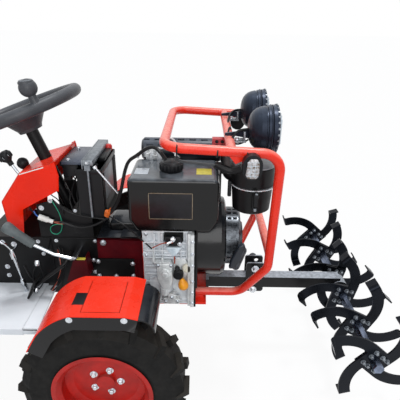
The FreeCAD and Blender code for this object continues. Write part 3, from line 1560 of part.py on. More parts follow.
def tine_blade():
    """A sabre tine: a straight root beside the shaft, a bend in its plane, and a tip turned sideways."""
    half = get("tine_width") / 2
    thick = get("tine_blade")
    offset = -get("tine_root_offset")
    run = get("tine_straight")
    bend = get("tine_bend_radius")
    turn = math.radians(get("tine_bend_turn"))
    tip = get("tine_tip_radius")
    centre = Vector(run, 0, offset + bend)
    way = Vector(math.cos(turn), 0, math.sin(turn))
    across = Vector(math.sin(turn), 0, -math.cos(turn))

    def on_bend(radius, share):
        angle = turn * share
        return centre + Vector(radius * math.sin(angle), 0, -radius * math.cos(angle))

    foot = -get("tine_hub") / 2
    outline = Part.Wire([
        line(Vector(foot, 0, offset - half), Vector(run, 0, offset - half)),
        Part.Arc(on_bend(bend + half, 0), on_bend(bend + half, 0.5), on_bend(bend + half, 1)).toShape(),
        line(on_bend(bend + half, 1), on_bend(bend - half, 1)),
        Part.Arc(on_bend(bend - half, 1), on_bend(bend - half, 0.5), on_bend(bend - half, 0)).toShape(),
        line(Vector(run, 0, offset + half), Vector(foot, 0, offset + half)),
        line(Vector(foot, 0, offset + half), Vector(foot, 0, offset - half)),
    ])
    blade = Part.Face(outline).extrude(Vector(0, thick, 0))
    start = on_bend(bend - half, 1)
    high = Vector(0, get("tine_tip_bend"), 0)
    lift = Vector(0, 1, 0)
    leaf = Part.Wire([
        Part.Arc(start, start + way * tip * math.sin(math.pi / 4) + lift * tip * (1 - math.cos(math.pi / 4)),
                 start + way * tip + lift * tip).toShape(),
        line(start + way * tip + lift * tip, start + way * tip + high),
        line(start + way * tip + high, start + way * (tip - thick) + high),
        line(start + way * (tip - thick) + high, start + way * (tip - thick) + lift * tip),
        Part.Arc(start + way * (tip - thick) + lift * tip,
                 start + way * (tip - thick) * math.sin(math.pi / 4)
                 + lift * (tip - (tip - thick) * math.cos(math.pi / 4)),
                 start + lift * thick).toShape(),
        line(start + lift * thick, start),
    ])
    return blade.fuse(Part.Face(leaf).extrude(across * 2 * half)).removeSplitter()


def tine_gang():
    """Square hub plates along the shaft, each with four tines laid along its sides."""
    hub = get("tine_hub")
    thick = get("tine_hub_thickness")
    corner_turn = math.degrees(math.atan2(get("tine_tip_z"), get("tine_tip_x")))
    blade = tine_blade()
    gangs = []
    for number in range(int(get("tine_hubs_per_side"))):
        along = get("tine_first") + number * get("tine_pitch")
        for side in (1, -1):
            plate = Part.makeBox(hub, thick, hub, Vector(-hub / 2, -thick / 2, -hub / 2))
            arms = []
            for quarter in range(4):
                arm = blade.copy()
                if quarter % 2:
                    arm = arm.mirror(Vector(0, get("tine_blade") / 2, 0), Vector(0, 1, 0))
                arm.translate(Vector(0, thick / 2, 0))
                if side < 0:
                    arm = arm.mirror(Vector(), Vector(0, 1, 0))
                arms.append(arm.rotate(Vector(), Vector(0, 1, 0), 90 * quarter + corner_turn))
            plate.rotate(Vector(), Vector(0, 1, 0), corner_turn)
            gang = plate.fuse(arms)
            gang.rotate(Vector(), Vector(0, 1, 0), get("tine_step") * number)
            gang.translate(Vector(get("rotor_x"), side * along, get("rotor_height")))
            gangs.append(gang)
    return Part.makeCompound(gangs)


shaft = node("rotor_shaft", rotor_shaft())
node("tines", cut(solid(tine_gang()), shaft))


# ----------------------------------------------------------- centre knuckle
def knuckle():
    """The upright pin between the ears and the roll pin that carries the rear frame."""
    pin = round_bar("z", "pivot_pin_radius", "pivot_top_height - pivot_bottom_height + 2 * pin_overrun",
                    "pivot_x", "0", "pivot_bottom_height - pin_overrun")
    core = round_bar("z", "knuckle_radius", "knuckle_top - knuckle_bottom",
                     "pivot_x", "0", "knuckle_bottom")
    neck = block(("pivot_x - roll_flange_rear + roll_flange_thickness", "pivot_x"),
                 ("-knuckle_radius + knuckle_flat", "knuckle_radius - knuckle_flat"),
                 ("knuckle_bottom", "knuckle_top"))
    flange = round_bar("x", "roll_flange_radius", "roll_flange_thickness",
                       "pivot_x - roll_flange_rear", "0", "roll_height")
    behind_plate = "front_plate + 2 * roll_flange_gap"
    roll_pin = round_bar("x", "roll_pin_radius", behind_plate + " + roll_pin_overrun",
                         "pivot_x - roll_flange_rear - (%s) - roll_pin_overrun" % behind_plate,
                         "0", "roll_height")
    collar = round_bar("x", "roll_pin_radius + roll_collar", "roll_flange_thickness",
                       "pivot_x - roll_flange_rear - (%s) - roll_flange_thickness" % behind_plate,
                       "0", "roll_height")
    cap = round_bar("z", "pivot_pin_radius + pin_cap", "pin_cap_thickness", "pivot_x", "0",
                    "pivot_top_height + pivot_ear_gap")
    return fuse(pin, core, neck, flange, roll_pin, collar, cap)


node("centre_knuckle", knuckle())


# ------------------------------------------------------------- rear module
def rear_chassis():
    """Two rails between a bored front plate and a rear plate, with cross members."""
    outer_edge = "rear_rail_half_spacing + rear_rail_width / 2"
    inner_edge = "rear_rail_half_spacing - rear_rail_width / 2"
    rail = block((behind("rear_rail_rear_behind"), "front_plate_rear_x"), (inner_edge, outer_edge),
                 ("rear_rail_bottom", "rear_rail_top_height"))
    front = block(("front_plate_rear_x", "front_plate_rear_x + front_plate"),
                  ("-(%s)" % outer_edge, outer_edge),
                  ("roll_height - front_plate_half_height", "roll_height + front_plate_half_height"))
    bore = round_bar("x", "roll_pin_radius + pivot_clearance", "3 * front_plate",
                     "front_plate_rear_x - front_plate", "0", "roll_height")
    rear = block((behind("rear_rail_rear_behind + chassis_plate"), behind("rear_rail_rear_behind")),
                 ("-(%s)" % outer_edge, outer_edge),
                 ("rear_rail_bottom - rear_plate_drop", "rear_rail_top_height"))
    middle = block(("rear_axle_x - differential_half_length", "rear_axle_x + differential_half_length"),
                   ("-(%s)" % inner_edge, inner_edge),
                   ("rear_rail_bottom", "rear_rail_bottom + cross_member"))
    return cut(fuse(rail, mirrored(rail), front, rear, middle), bore)


node("rear_chassis", rear_chassis())
node("drawbar", cut(
    block((behind("drawbar_behind"), behind("rear_rail_rear_behind + chassis_plate")),
          ("-drawbar_half_width", "drawbar_half_width"),
          ("drawbar_height - drawbar_thickness / 2", "drawbar_height + drawbar_thickness / 2")),
    round_bar("z", "drawbar_hole_radius", "drawbar_height", behind("drawbar_behind - drawbar_hole_inset"),
              "0", "drawbar_height / 2")))


def rear_fender_arm():
    """An upright from the deck's edge and a flat arm out under the fender's top."""
    arm = fender_bracket("rear_axle_x", "deck_half_width - fender_arm_inset")
    upright = block(("rear_axle_x - fender_bracket_width / 2", "rear_axle_x + fender_bracket_width / 2"),
                    ("deck_half_width - fender_arm_inset",
                     "deck_half_width - fender_arm_inset + fender_bracket_thickness"),
                    ("rear_rail_top_height + deck_thickness",
                     "fender_top_height - fender_sheet - fender_bracket_thickness"))
    return fuse(arm, upright)


deck = block((behind("rear_rail_rear_behind"), behind("deck_front_behind")),
             ("-deck_half_width", "deck_half_width"),
             ("rear_rail_top_height", "rear_rail_top_height + deck_thickness"))
rear_arm = rear_fender_arm()
node("rear_deck", fuse(deck, rear_arm, mirrored(rear_arm)))


def seat_base():
    """A hollow box under a flat pan."""
    outer = block((behind("seat_behind + seat_post_half_length"),
                   behind("seat_behind - seat_post_half_length")),
                  ("-seat_post_half_width", "seat_post_half_width"),
                  ("rear_rail_top_height + deck_thickness", "seat_pan_height - seat_pan_thickness"))
    inner = block((behind("seat_behind + seat_post_half_length - seat_post_wall"),
                   behind("seat_behind - seat_post_half_length + seat_post_wall")),
                  ("-seat_post_half_width + seat_post_wall", "seat_post_half_width - seat_post_wall"),
                  ("rear_rail_top_height", "seat_pan_height"))
    pan = block((behind("seat_behind + seat_length / 2"), behind("seat_behind - seat_length / 2")),
                ("-seat_half_width", "seat_half_width"),
                ("seat_pan_height - seat_pan_thickness", "seat_pan_height"))
    return fuse(cut(outer, inner), pan)


node("seat_base", seat_base())
node("seat_cushion", block(
    (behind("seat_behind + seat_length / 2"), behind("seat_behind - seat_length / 2")),
    ("-seat_half_width", "seat_half_width"),
    ("seat_pan_height", "seat_pan_height + seat_cushion_thickness")))


def seat_back():
    """The back cushion, leaning away from the driver."""
    lean = "seat_back_height * tan(seat_back_lean)"
    foot = behind("seat_behind + seat_length / 2 - seat_back_thickness")
    return slab("y", [
        (foot, "seat_pan_height + seat_cushion_thickness"),
        (foot + " - seat_back_thickness", "seat_pan_height + seat_cushion_thickness"),
        (foot + " - seat_back_thickness - %s" % lean,
         "seat_pan_height + seat_cushion_thickness + seat_back_height"),
        (foot + " - %s" % lean, "seat_pan_height + seat_cushion_thickness + seat_back_height"),
    ], "-seat_half_width", "seat_half_width")


node("seat_back", seat_back())


def tail_lamp():
    return round_bar("x", "tail_lamp_radius", "tail_lamp_depth",
                     behind("rear_rail_rear_behind + chassis_plate + tail_lamp_depth"),
                     "rear_rail_half_spacing", "rear_rail_top_height - tail_lamp_drop")


node("tail_lamps", both_sides(tail_lamp()))


doc.recompute()
for item in doc.Objects:
    faults = {"Invalid", "Error"} & set(item.State)
    if faults:
        raise RuntimeError("%s: %s" % (item.Label, ", ".join(faults)))
for item in NODES:
    if item.Shape.isNull() or not item.Shape.isValid() or not item.Shape.Solids:
        raise RuntimeError("%s has no valid solid" % item.Label)
for item in NODES:
    item.Shape.exportStep("parts/%s.step" % item.Label)
    print(item.Label, len(item.Shape.Solids), round(item.Shape.Volume))
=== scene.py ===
"""Finish of a small articulated tractor with an open diesel engine and a tine rotor in front."""

import math

import bmesh
import bpy
from mathutils import Matrix, Vector
from mathutils.bvhtree import BVHTree


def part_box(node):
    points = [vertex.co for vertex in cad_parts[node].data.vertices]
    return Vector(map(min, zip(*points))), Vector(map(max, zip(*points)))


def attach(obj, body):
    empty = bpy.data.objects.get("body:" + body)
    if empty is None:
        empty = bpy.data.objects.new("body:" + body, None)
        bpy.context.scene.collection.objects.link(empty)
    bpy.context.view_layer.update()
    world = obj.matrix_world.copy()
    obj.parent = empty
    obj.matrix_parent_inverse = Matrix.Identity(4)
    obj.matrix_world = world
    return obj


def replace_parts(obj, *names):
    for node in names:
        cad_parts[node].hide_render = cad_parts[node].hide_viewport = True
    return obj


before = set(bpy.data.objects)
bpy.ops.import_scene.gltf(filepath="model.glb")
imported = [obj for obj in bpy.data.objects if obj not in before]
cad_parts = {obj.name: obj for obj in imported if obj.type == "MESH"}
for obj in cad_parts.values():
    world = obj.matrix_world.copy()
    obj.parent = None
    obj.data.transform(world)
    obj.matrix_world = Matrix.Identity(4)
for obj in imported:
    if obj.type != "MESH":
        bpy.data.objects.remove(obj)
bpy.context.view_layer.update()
scene = bpy.context.scene

MM = 0.001
FRONT = "front_frame"
REAR = "rear_frame"
STEERING = "steering_wheel"
ROTOR = "tine_rotor"


# ------------------------------------------------------------------ small tools
def colour(code):
    """The linear colour of an sRGB hex value."""
    parts = [int(code[place:place + 2], 16) / 255 for place in (0, 2, 4)]
    return [part / 12.92 if part <= 0.04045 else ((part + 0.055) / 1.055) ** 2.4 for part in parts] + [1.0]


def add(tree, kind, values=None, links=None, **settings):
    """Add a node with its properties, its input values and the sockets linked to its inputs."""
    node = tree.nodes.new(kind)
    for name, value in settings.items():
        setattr(node, name, value)
    for name, value in (values or {}).items():
        node.inputs[name].default_value = value
    for name, socket in (links or {}).items():
        tree.links.new(socket, node.inputs[name])
    return node


def corners_of(node):
    """The lowest and highest corner of a part of the frame, in millimetres."""
    low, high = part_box(node)
    return Vector(low) / MM, Vector(high) / MM


def mesh_of(shape):
    """A plain mesh from a bmesh, with its faces turned outwards."""
    bmesh.ops.remove_doubles(shape, verts=shape.verts, dist=1e-7)
    bmesh.ops.recalc_face_normals(shape, faces=shape.faces)
    mesh = bpy.data.meshes.new("shape")
    shape.to_mesh(mesh)
    shape.free()
    return mesh


def rod(radius, length):
    """The turned profile of a plain rod."""
    return [(0, 0), (0, radius), (length, radius), (length, 0)]


def peg(radius, length, shoulder, tip):
    """The turned profile of a peg that narrows from its shoulder to its tip."""
    return [(0, 0), (0, radius), (shoulder, radius), (length, tip), (length, 0)]


def turned(profile, start, way, sides=36):
    """A closed turned shape of (distance along the axis, radius) pairs from a start point, in mm."""
    axis = Vector(way).normalized()
    across = axis.orthogonal().normalized()
    upright = axis.cross(across)
    shape = bmesh.new()
    rings = []
    for along, radius in profile:
        centre = Vector(start) + axis * along
        if radius == 0:
            rings.append([shape.verts.new(centre * MM)])
            continue
        spokes = [math.tau * side / sides for side in range(sides)]
        rings.append([
            shape.verts.new((centre + (across * math.cos(turn) + upright * math.sin(turn)) * radius) * MM)
            for turn in spokes])
    for first, second in zip(rings, rings[1:]):
        for side in range(sides):
            corners = [first[side % len(first)], first[(side + 1) % len(first)],
                       second[(side + 1) % len(second)], second[side % len(second)]]
            corners = list(dict.fromkeys(corners))
            if len(corners) > 2:
                shape.faces.new(corners)
    return mesh_of(shape)


def pressed(outline, axis, low, high, corner=1.0, segments=2):
    """A block of an outline drawn across an axis, with rounded edges, in mm.

    The outline holds (y, z) pairs across x, (x, z) pairs across y and (x, y) pairs across z.
    """
    stand = {"x": lambda a, b, c: (c, a, b), "y": lambda a, b, c: (a, c, b), "z": lambda a, b,
             c: (a, b, c)}[axis]
    shape = bmesh.new()
    floor = [shape.verts.new(Vector(stand(a, b, low)) * MM) for a, b in outline]
    lid = [shape.verts.new(Vector(stand(a, b, high)) * MM) for a, b in outline]
    shape.faces.new(floor)
    shape.faces.new(lid)
    for place in range(len(outline)):
        after = (place + 1) % len(outline)
        shape.faces.new((floor[place], floor[after], lid[after], lid[place]))
    if corner:
        bmesh.ops.bevel(shape, geom=shape.edges[:], offset=corner * MM, segments=segments, profile=0.5,
                        affect="EDGES")
    return mesh_of(shape)


def block(low, high, corner=1.0, segments=2):
    """A rounded block between two corners, in mm."""
    outline = [(low[0], low[2]), (high[0], low[2]), (high[0], high[2]), (low[0], high[2])]
    return pressed(outline, "y", low[1], high[1], corner, segments)


def cable(points, diameter, closed=False):
    """A round cable or tube along a smooth line near some points, in mm."""
    curve = bpy.data.curves.new("line", "CURVE")
    curve.dimensions = "3D"
    line = curve.splines.new("NURBS")
    line.points.add(len(points) - 1)
    for spot, point in zip(line.points, points):
        spot.co = (*(Vector(point) * MM), 1)
    line.order_u = 3
    line.use_endpoint_u = not closed
    line.use_cyclic_u = closed
    line.resolution_u = 5
    curve.bevel_depth = diameter / 2 * MM
    curve.bevel_resolution = 2
    curve.use_fill_caps = True
    holder = bpy.data.objects.new("line", curve)
    mesh = bpy.data.meshes.new_from_object(holder)
    bpy.data.objects.remove(holder)
    shape = bmesh.new()
    shape.from_mesh(mesh)
    return mesh_of(shape)


def moved(mesh, matrix):
    """A copy of a mesh under a matrix."""
    shape = bmesh.new()
    shape.from_mesh(mesh)
    shape.transform(matrix)
    return mesh_of(shape)


def fit(name, meshes, material, body=FRONT, sharp=38):
    """Join meshes into one named piece of one material that moves with a body."""
    shape = bmesh.new()
    for mesh in meshes if isinstance(meshes, list) else [meshes]:
        shape.from_mesh(mesh)
    mesh = bpy.data.meshes.new(name)
    shape.to_mesh(mesh)
    shape.free()
    mesh.shade_smooth()
    mesh.set_sharp_from_angle(angle=math.radians(sharp))
    mesh.materials.append(material)
    item = bpy.data.objects.new(name, mesh)
    scene.collection.objects.link(item)
    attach(item, body)
    return item


# ---------------------------------------------------------------- fasteners
def fastener_tree():
    """Bolts and screws on points: a chamfered head of some sides on a washer, turned to face outwards."""
    tree = bpy.data.node_groups.new("fasteners", "GeometryNodeTree")
    face = tree.interface
    face.new_socket("Places", in_out="INPUT", socket_type="NodeSocketGeometry")
    wishes = [("Head Radius", "NodeSocketFloat", 0.006), ("Head Height", "NodeSocketFloat", 0.005),
              ("Head Sides", "NodeSocketInt", 6), ("Washer Radius", "NodeSocketFloat", 0.009),
              ("Washer Height", "NodeSocketFloat", 0.0015), ("Finish", "NodeSocketMaterial", None)]
    for name, kind, value in wishes:
        socket = face.new_socket(name, in_out="INPUT", socket_type=kind)
        if value is not None:
            socket.default_value = value
    face.new_socket("Fasteners", in_out="OUTPUT", socket_type="NodeSocketGeometry")
    given = add(tree, "NodeGroupInput").outputs
    washer = add(tree, "GeometryNodeMeshCylinder", {"Vertices": 20},
                 {"Radius": given["Washer Radius"], "Depth": given["Washer Height"]})
    head = add(tree, "GeometryNodeMeshCylinder", links={
        "Vertices": given["Head Sides"], "Radius": given["Head Radius"], "Depth": given["Head Height"]})
    narrow = add(tree, "ShaderNodeMath", {1: 0.8}, {0: given["Head Radius"]}, operation="MULTIPLY")
    thin = add(tree, "ShaderNodeMath", {1: 0.25}, {0: given["Head Height"]}, operation="MULTIPLY")
    crown = add(tree, "GeometryNodeMeshCone", links={
        "Vertices": given["Head Sides"], "Radius Bottom": given["Head Radius"],
        "Radius Top": narrow.outputs[0], "Depth": thin.outputs[0]})
    middle = add(tree, "ShaderNodeMath", {1: 0.5}, {0: given["Head Height"]}, operation="MULTIPLY")
    on_washer = add(tree, "ShaderNodeMath", links={0: middle.outputs[0], 1: given["Washer Height"]},
                    operation="ADD")
    on_head = add(tree, "ShaderNodeMath", links={0: given["Head Height"], 1: given["Washer Height"]},
                  operation="ADD")
    half = add(tree, "ShaderNodeMath", {1: 0.5}, {0: given["Washer Height"]}, operation="MULTIPLY")
    raised = []
    for mesh, height in ((washer.outputs["Mesh"], half), (head.outputs["Mesh"], on_washer),
                         (crown.outputs["Mesh"], on_head)):
        lift = add(tree, "ShaderNodeCombineXYZ", links={"Z": height.outputs[0]})
        raised.append(add(tree, "GeometryNodeTransform", links={
            "Geometry": mesh, "Translation": lift.outputs[0]}).outputs["Geometry"])
    whole = add(tree, "GeometryNodeJoinGeometry")
    for mesh in raised:
        tree.links.new(mesh, whole.inputs[0])
    facing = add(tree, "GeometryNodeInputNamedAttribute", {"Name": "facing"}, data_type="FLOAT_VECTOR")
    size = add(tree, "GeometryNodeInputNamedAttribute", {"Name": "size"}, data_type="FLOAT")
    turn = add(tree, "FunctionNodeAlignRotationToVector", {"Factor": 1.0},
               {"Vector": facing.outputs["Attribute"]}, axis="Z")
    placed = add(tree, "GeometryNodeInstanceOnPoints", links={
        "Points": given["Places"], "Instance": whole.outputs[0], "Rotation": turn.outputs[0],
        "Scale": size.outputs["Attribute"]})
    real = add(tree, "GeometryNodeRealizeInstances", links={"Geometry": placed.outputs[0]})
    coated = add(tree, "GeometryNodeSetMaterial", links={
        "Geometry": real.outputs[0], "Material": given["Finish"]})
    result = add(tree, "NodeGroupOutput")
    tree.links.new(coated.outputs[0], result.inputs[0])
    return tree


FASTENERS = fastener_tree()


def fasteners(name, places, material, body=FRONT, radius=6.0, height=5.0, sides=6, washer=9.0, thick=1.5):
    """Fasteners at (point, way it faces, size) places in mm, made one plain mesh on a body."""
    mesh = bpy.data.meshes.new(name)
    mesh.from_pydata([Vector(point) * MM for point, way, size in places], [], [])
    mesh.attributes.new("facing", "FLOAT_VECTOR", "POINT")
    mesh.attributes.new("size", "FLOAT", "POINT")
    for number, (point, way, size) in enumerate(places):
        mesh.attributes["facing"].data[number].vector = Vector(way).normalized()
        mesh.attributes["size"].data[number].value = size
    item = bpy.data.objects.new(name, mesh)
    scene.collection.objects.link(item)
    modifier = item.modifiers.new("fasteners", "NODES")
    modifier.node_group = FASTENERS
    wishes = {"Head Radius": radius * MM, "Head Height": height * MM, "Head Sides": sides,
              "Washer Radius": washer * MM, "Washer Height": thick * MM, "Finish": material}
    for socket in FASTENERS.interface.items_tree:
        if socket.name in wishes:
            modifier[socket.identifier] = wishes[socket.name]
    bpy.context.view_layer.update()
    seen = item.evaluated_get(bpy.context.evaluated_depsgraph_get())
    plain = bpy.data.meshes.new_from_object(seen)
    item.modifiers.clear()
    item.data = plain
    plain.shade_flat()
    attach(item, body)
    return item


skins = {}   # search trees of the parts that on_face has met


def on_face(node, point, way):
    """Where a line from a point first meets a part, and how that face looks out, in mm."""
    if node not in skins:
        shape = bmesh.new()
        shape.from_mesh(bpy.data.objects[node].data)
        skins[node] = BVHTree.FromBMesh(shape)
        shape.free()
    place, facing = skins[node].ray_cast(Vector(point) * MM, Vector(way))[:2]
    if place is None:
        return None
    return place / MM, facing if facing.dot(Vector(way)) < 0 else -facing



def bolts_on(name, node, points, way, size, body=FRONT):
    """Bolts set down on a part's face below each point; a point that misses the part gets none."""
    met = [on_face(node, point, way) for point in points]
    fasteners(name, [(place, facing, size) for place, facing in filter(None, met)], ZINC_PLATE, body)


def finish(name, fresh, aged, cloud, grain, depth, rough, spread, dust_and_sheen=0.0, dust_and_sheen_colour="b9b2a6",
           stretch=(1, 1, 1), shine=0.5, **shader):
    """A solid finish: two shades in clouds, a fine relief, uneven gloss, and on what faces up real dust on
    some finishes and a painted sky sheen and highlight on others.

    cloud, grain and depth are in millimetres; rough is the mean roughness and spread its range each way.
    shine is the shader's specular level, low on blacks that stand in bright surroundings.
    """
    material = bpy.data.materials.new(name)
    material.use_nodes = True
    tree = material.node_tree
    tree.nodes.clear()
    place = add(tree, "ShaderNodeTexCoord").outputs["Object"]
    laid = add(tree, "ShaderNodeMapping", {"Scale": stretch}, {"Vector": place}).outputs["Vector"]
    clouds = add(tree, "ShaderNodeTexNoise", {"Scale": 1 / (cloud * MM), "Detail": 4.0, "Roughness": 0.6},
                 {"Vector": laid}).outputs["Fac"]
    wiped = add(tree, "ShaderNodeTexNoise", {"Scale": 3 / (cloud * MM), "Detail": 5.0, "Roughness": 0.65},
                {"Vector": laid}).outputs["Fac"]
    fine = add(tree, "ShaderNodeTexNoise", {"Scale": 1 / (grain * MM), "Detail": 3.0, "Roughness": 0.55},
               {"Vector": laid}).outputs["Fac"]
    share = add(tree, "ShaderNodeMapRange", {"From Min": 0.35, "From Max": 0.65}, {"Value": clouds})
    base = add(tree, "ShaderNodeMix", {6: colour(fresh), 7: colour(aged)}, {0: share.outputs["Result"]},
               data_type="RGBA").outputs[2]
    # What faces up is blended towards one colour: real dust on some finishes, painted sky sheen and highlight
    # on others.
    if dust_and_sheen:
        facing = add(tree, "ShaderNodeSeparateXYZ", links={"Vector": add(
            tree, "ShaderNodeNewGeometry").outputs["Normal"]}).outputs["Z"]
        upward_dust_and_sheen = add(tree, "ShaderNodeMapRange", {"From Min": 0.3, "From Max": 1.0, "To Max": dust_and_sheen},
                      {"Value": facing}).outputs["Result"]
        patchy_dust_and_sheen = add(tree, "ShaderNodeMath", links={0: upward_dust_and_sheen, 1: wiped}, operation="MULTIPLY")
        base = add(tree, "ShaderNodeMix", {7: colour(dust_and_sheen_colour)}, {0: patchy_dust_and_sheen.outputs[0], 6: base},
                   data_type="RGBA").outputs[2]
    gloss = add(tree, "ShaderNodeMapRange", {"From Min": 0.3, "From Max": 0.7, "To Min": rough - spread,
                                             "To Max": rough + spread}, {"Value": wiped})
    relief = add(tree, "ShaderNodeBump", {"Strength": 0.6, "Distance": depth * MM}, {"Height": fine})
    body = add(tree, "ShaderNodeBsdfPrincipled", {"Specular IOR Level": shine, **shader},
               {"Base Color": base, "Roughness": gloss.outputs["Result"],
                "Normal": relief.outputs["Normal"]})
    add(tree, "ShaderNodeOutputMaterial", links={"Surface": body.outputs["BSDF"]})
    return material


# -------------------------------------------------------------------- materials
DULL = 0.16    # the shine of dry, dusty black
SATIN = 0.22   # the shine of satin black

# Sprayed gloss enamel on pressed sheet: orange red, with orange peel about 2 mm across, turning a little
# paler, towards pinkish orange, on what faces up.
RED_ENAMEL = finish("red_gloss_enamel_on_sheet", "ee2400", "e42000", 160, 2.2, 0.03, 0.28, 0.06,
                    dust_and_sheen=0.12, dust_and_sheen_colour="f0a088", shine=0.24)
# The same enamel on bent tube, with a pale pink painted highlight on its upward faces.
TUBE_ENAMEL = finish("red_gloss_enamel_on_tube", "e6301a", "dc2814", 90, 2.5, 0.03, 0.28, 0.06,
                     dust_and_sheen=0.8, dust_and_sheen_colour="ffbfae", shine=0.32)
# Brick red enamel on a pressed steel rim, dulled by road dust.
RIM_ENAMEL = finish("red_enamel_on_pressed_rim", "b3180f", "96120b", 60, 2.0, 0.08, 0.4, 0.1,
                    dust_and_sheen=0.16, shine=0.3)
# Thick dark maroon paint over sand-cast iron, whose grain still shows through.
MAROON_CASTING = finish("maroon_paint_on_cast_iron", "560b13", "440810", 70, 3.0, 0.25, 0.42, 0.1,
                        shine=0.14)
# Black gloss powder coat on pressed sheet, with a painted blue-grey sky sheen on what faces up.
BLACK_GLOSS = finish("black_gloss_powder_coat", "0d0d10", "09090b", 120, 1.6, 0.03, 0.2, 0.06,
                     dust_and_sheen=0.12, dust_and_sheen_colour="8c97a6", shine=0.34)
# The tank's thicker gloss coat; its flat top carries a painted grey sky reflection.
TANK_COAT = finish("black_gloss_tank_coat", "0a0a0b", "070708", 140, 1.6, 0.02, 0.16, 0.05,
                   dust_and_sheen=0.5, dust_and_sheen_colour="a4aeb8", shine=0.34)
# Black paint on the silencer's perforated shield, its base a little blue; what faces up carries a painted
# blue-grey sky sheen.
SHIELD_PAINT = finish("black_paint_with_painted_blue_sheen", "20252e", "161a20", 60, 1.8, 0.06, 0.34, 0.08,
                      dust_and_sheen=0.55, dust_and_sheen_colour="7a8798", shine=0.4)
# Black paint on the square bar, with a painted pale sky sheen along its flat top.
BAR_PAINT = finish("black_paint_on_bar_with_painted_top_sheen", "141416", "0e0e10", 40, 1.8, 0.1, 0.42, 0.08,
                   dust_and_sheen=1.0, dust_and_sheen_colour="d0d8e2", shine=0.3)
# The starter's slotted cover of pressed steel, black gloss in life, given a grey metallic finish whose grey
# is painted sheen standing in for the gloss's reflections.
STARTER_STEEL = finish("grey_metal_as_painted_starter_sheen", "5e6369", "34373c", 30, 2.0, 0.05, 0.3, 0.08,
                       Metallic=0.7)
# Hand grip of moulded grey rubber, turning paler blue-grey on its upward faces, most plainly at its swollen
# end.
GRIP_RUBBER = finish("moulded_grey_rubber_grip", "626b6c", "4e5657", 40, 1.2, 0.08, 0.5, 0.08,
                     dust_and_sheen=0.3, dust_and_sheen_colour="9aa4a8", shine=0.3)
# Satin black chassis paint on plate and bar.
BLACK_SATIN = finish("black_satin_chassis_paint", "0e0e10", "09090b", 80, 2.2, 0.1, 0.4, 0.1,
                     dust_and_sheen=0.03, shine=SATIN)
# Black paint in recesses and on the backs of plates, dulled by dirt.
BLACK_DULL = finish("dull_black_paint", "0a0a0b", "060607", 60, 2.0, 0.1, 0.55, 0.1, shine=DULL)
# Black paint over cast and forged tine steel, with a mill-scale blue shine.
TINE_PAINT = finish("black_paint_on_forged_tines", "08090b", "0d0f13", 45, 2.0, 0.1, 0.28, 0.1,
                    shine=0.2, **{"Specular Tint": colour("c8d4f0")})
# Die-cast aluminium, bead-blasted: bright grey with a granular skin.
DIE_CAST = finish("die_cast_aluminium", "e6e9ec", "ccd1d6", 26, 1.4, 0.3, 0.4, 0.1, Metallic=0.3)
# The fresher casting of covers and bosses, brighter than the block.
BRIGHT_CAST = finish("bright_die_cast_cover", "e2e4e4", "c6caca", 18, 1.2, 0.2, 0.38, 0.1, Metallic=0.25)
# Pale grey coated tread sheet of the footboards.
TREAD_SHEET = finish("pale_grey_coated_sheet", "dfe4e9", "d6dbe0", 130, 1.2, 0.05, 0.5, 0.08)
# Matt black rubber with dry grey bloom on the lugs and sidewalls.
TYRE_RUBBER = finish("tyre_rubber", "101010", "1a1918", 50, 1.5, 0.25, 0.74, 0.1, dust_and_sheen=0.2,
                     dust_and_sheen_colour="6f675c", shine=DULL)
# Soft moulded foam grip of the steering wheel: dark grey, dull, finely pored, with a painted grey sky sheen
# on what faces up.
GRIP_FOAM = finish("moulded_foam_grip", "434448", "383a3e", 60, 0.9, 0.12, 0.42, 0.06,
                   dust_and_sheen=0.3, dust_and_sheen_colour="8a9098", shine=0.3)
# Injection-moulded black plastic with a fine spark grain.
BLACK_PLASTIC = finish("grained_black_plastic", "101114", "17181b", 60, 0.8, 0.08, 0.42, 0.08, shine=SATIN)
# Glossy black lamp shell with a faint blue cast and a painted blue sky sheen on what faces up.
LAMP_SHELL = finish("glossy_black_lamp_shell", "12141a", "181c25", 80, 3.0, 0.02, 0.34, 0.05,
                    dust_and_sheen=0.35, dust_and_sheen_colour="73849c",
                    shine=0.4, **{"Specular Tint": colour("b4c4e6")})
# Battery case: dark polypropylene with vertical flow marks.
BATTERY_CASE = finish("dark_polypropylene_case", "141518", "0e0f11", 40, 1.0, 0.08, 0.4, 0.08,
                      stretch=(1, 1, 0.3), shine=SATIN)
# Thin painted lid over the switches: blue-grey, partly its own paint and partly a painted reflection of the
# open sky.
LID_PAINT = finish("blue_grey_painted_lid", "4a5160", "3d4452", 70, 1.5, 0.05, 0.3, 0.06,
                   shine=0.4)
# Galvanised pressed steel of the battery clamp: mid grey with soft spangle.
GALVANISED = finish("galvanised_pressed_steel", "8c9298", "70767c", 14, 1.5, 0.04, 0.4, 0.1, Metallic=0.7)
# Zinc plate on small steel parts: bright, cloudy, slightly blue.
ZINC_PLATE = finish("bright_zinc_plate", "dfe3e7", "c4c9d0", 12, 0.7, 0.05, 0.28, 0.1, Metallic=0.8)
# Chrome plate on lever rods.
CHROME = finish("polished_chrome_plate", "d2d6da", "bcc1c8", 30, 4.0, 0.02, 0.18, 0.05, Metallic=1.0)
# Black embossed vinyl of the seat, grain about 1.5 mm.
SEAT_VINYL = finish("embossed_black_vinyl", "17171a", "101012", 120, 1.5, 0.3, 0.5, 0.06,
                    shine=0.3, **{"Sheen Weight": 0.12, "Sheen Roughness": 0.4})
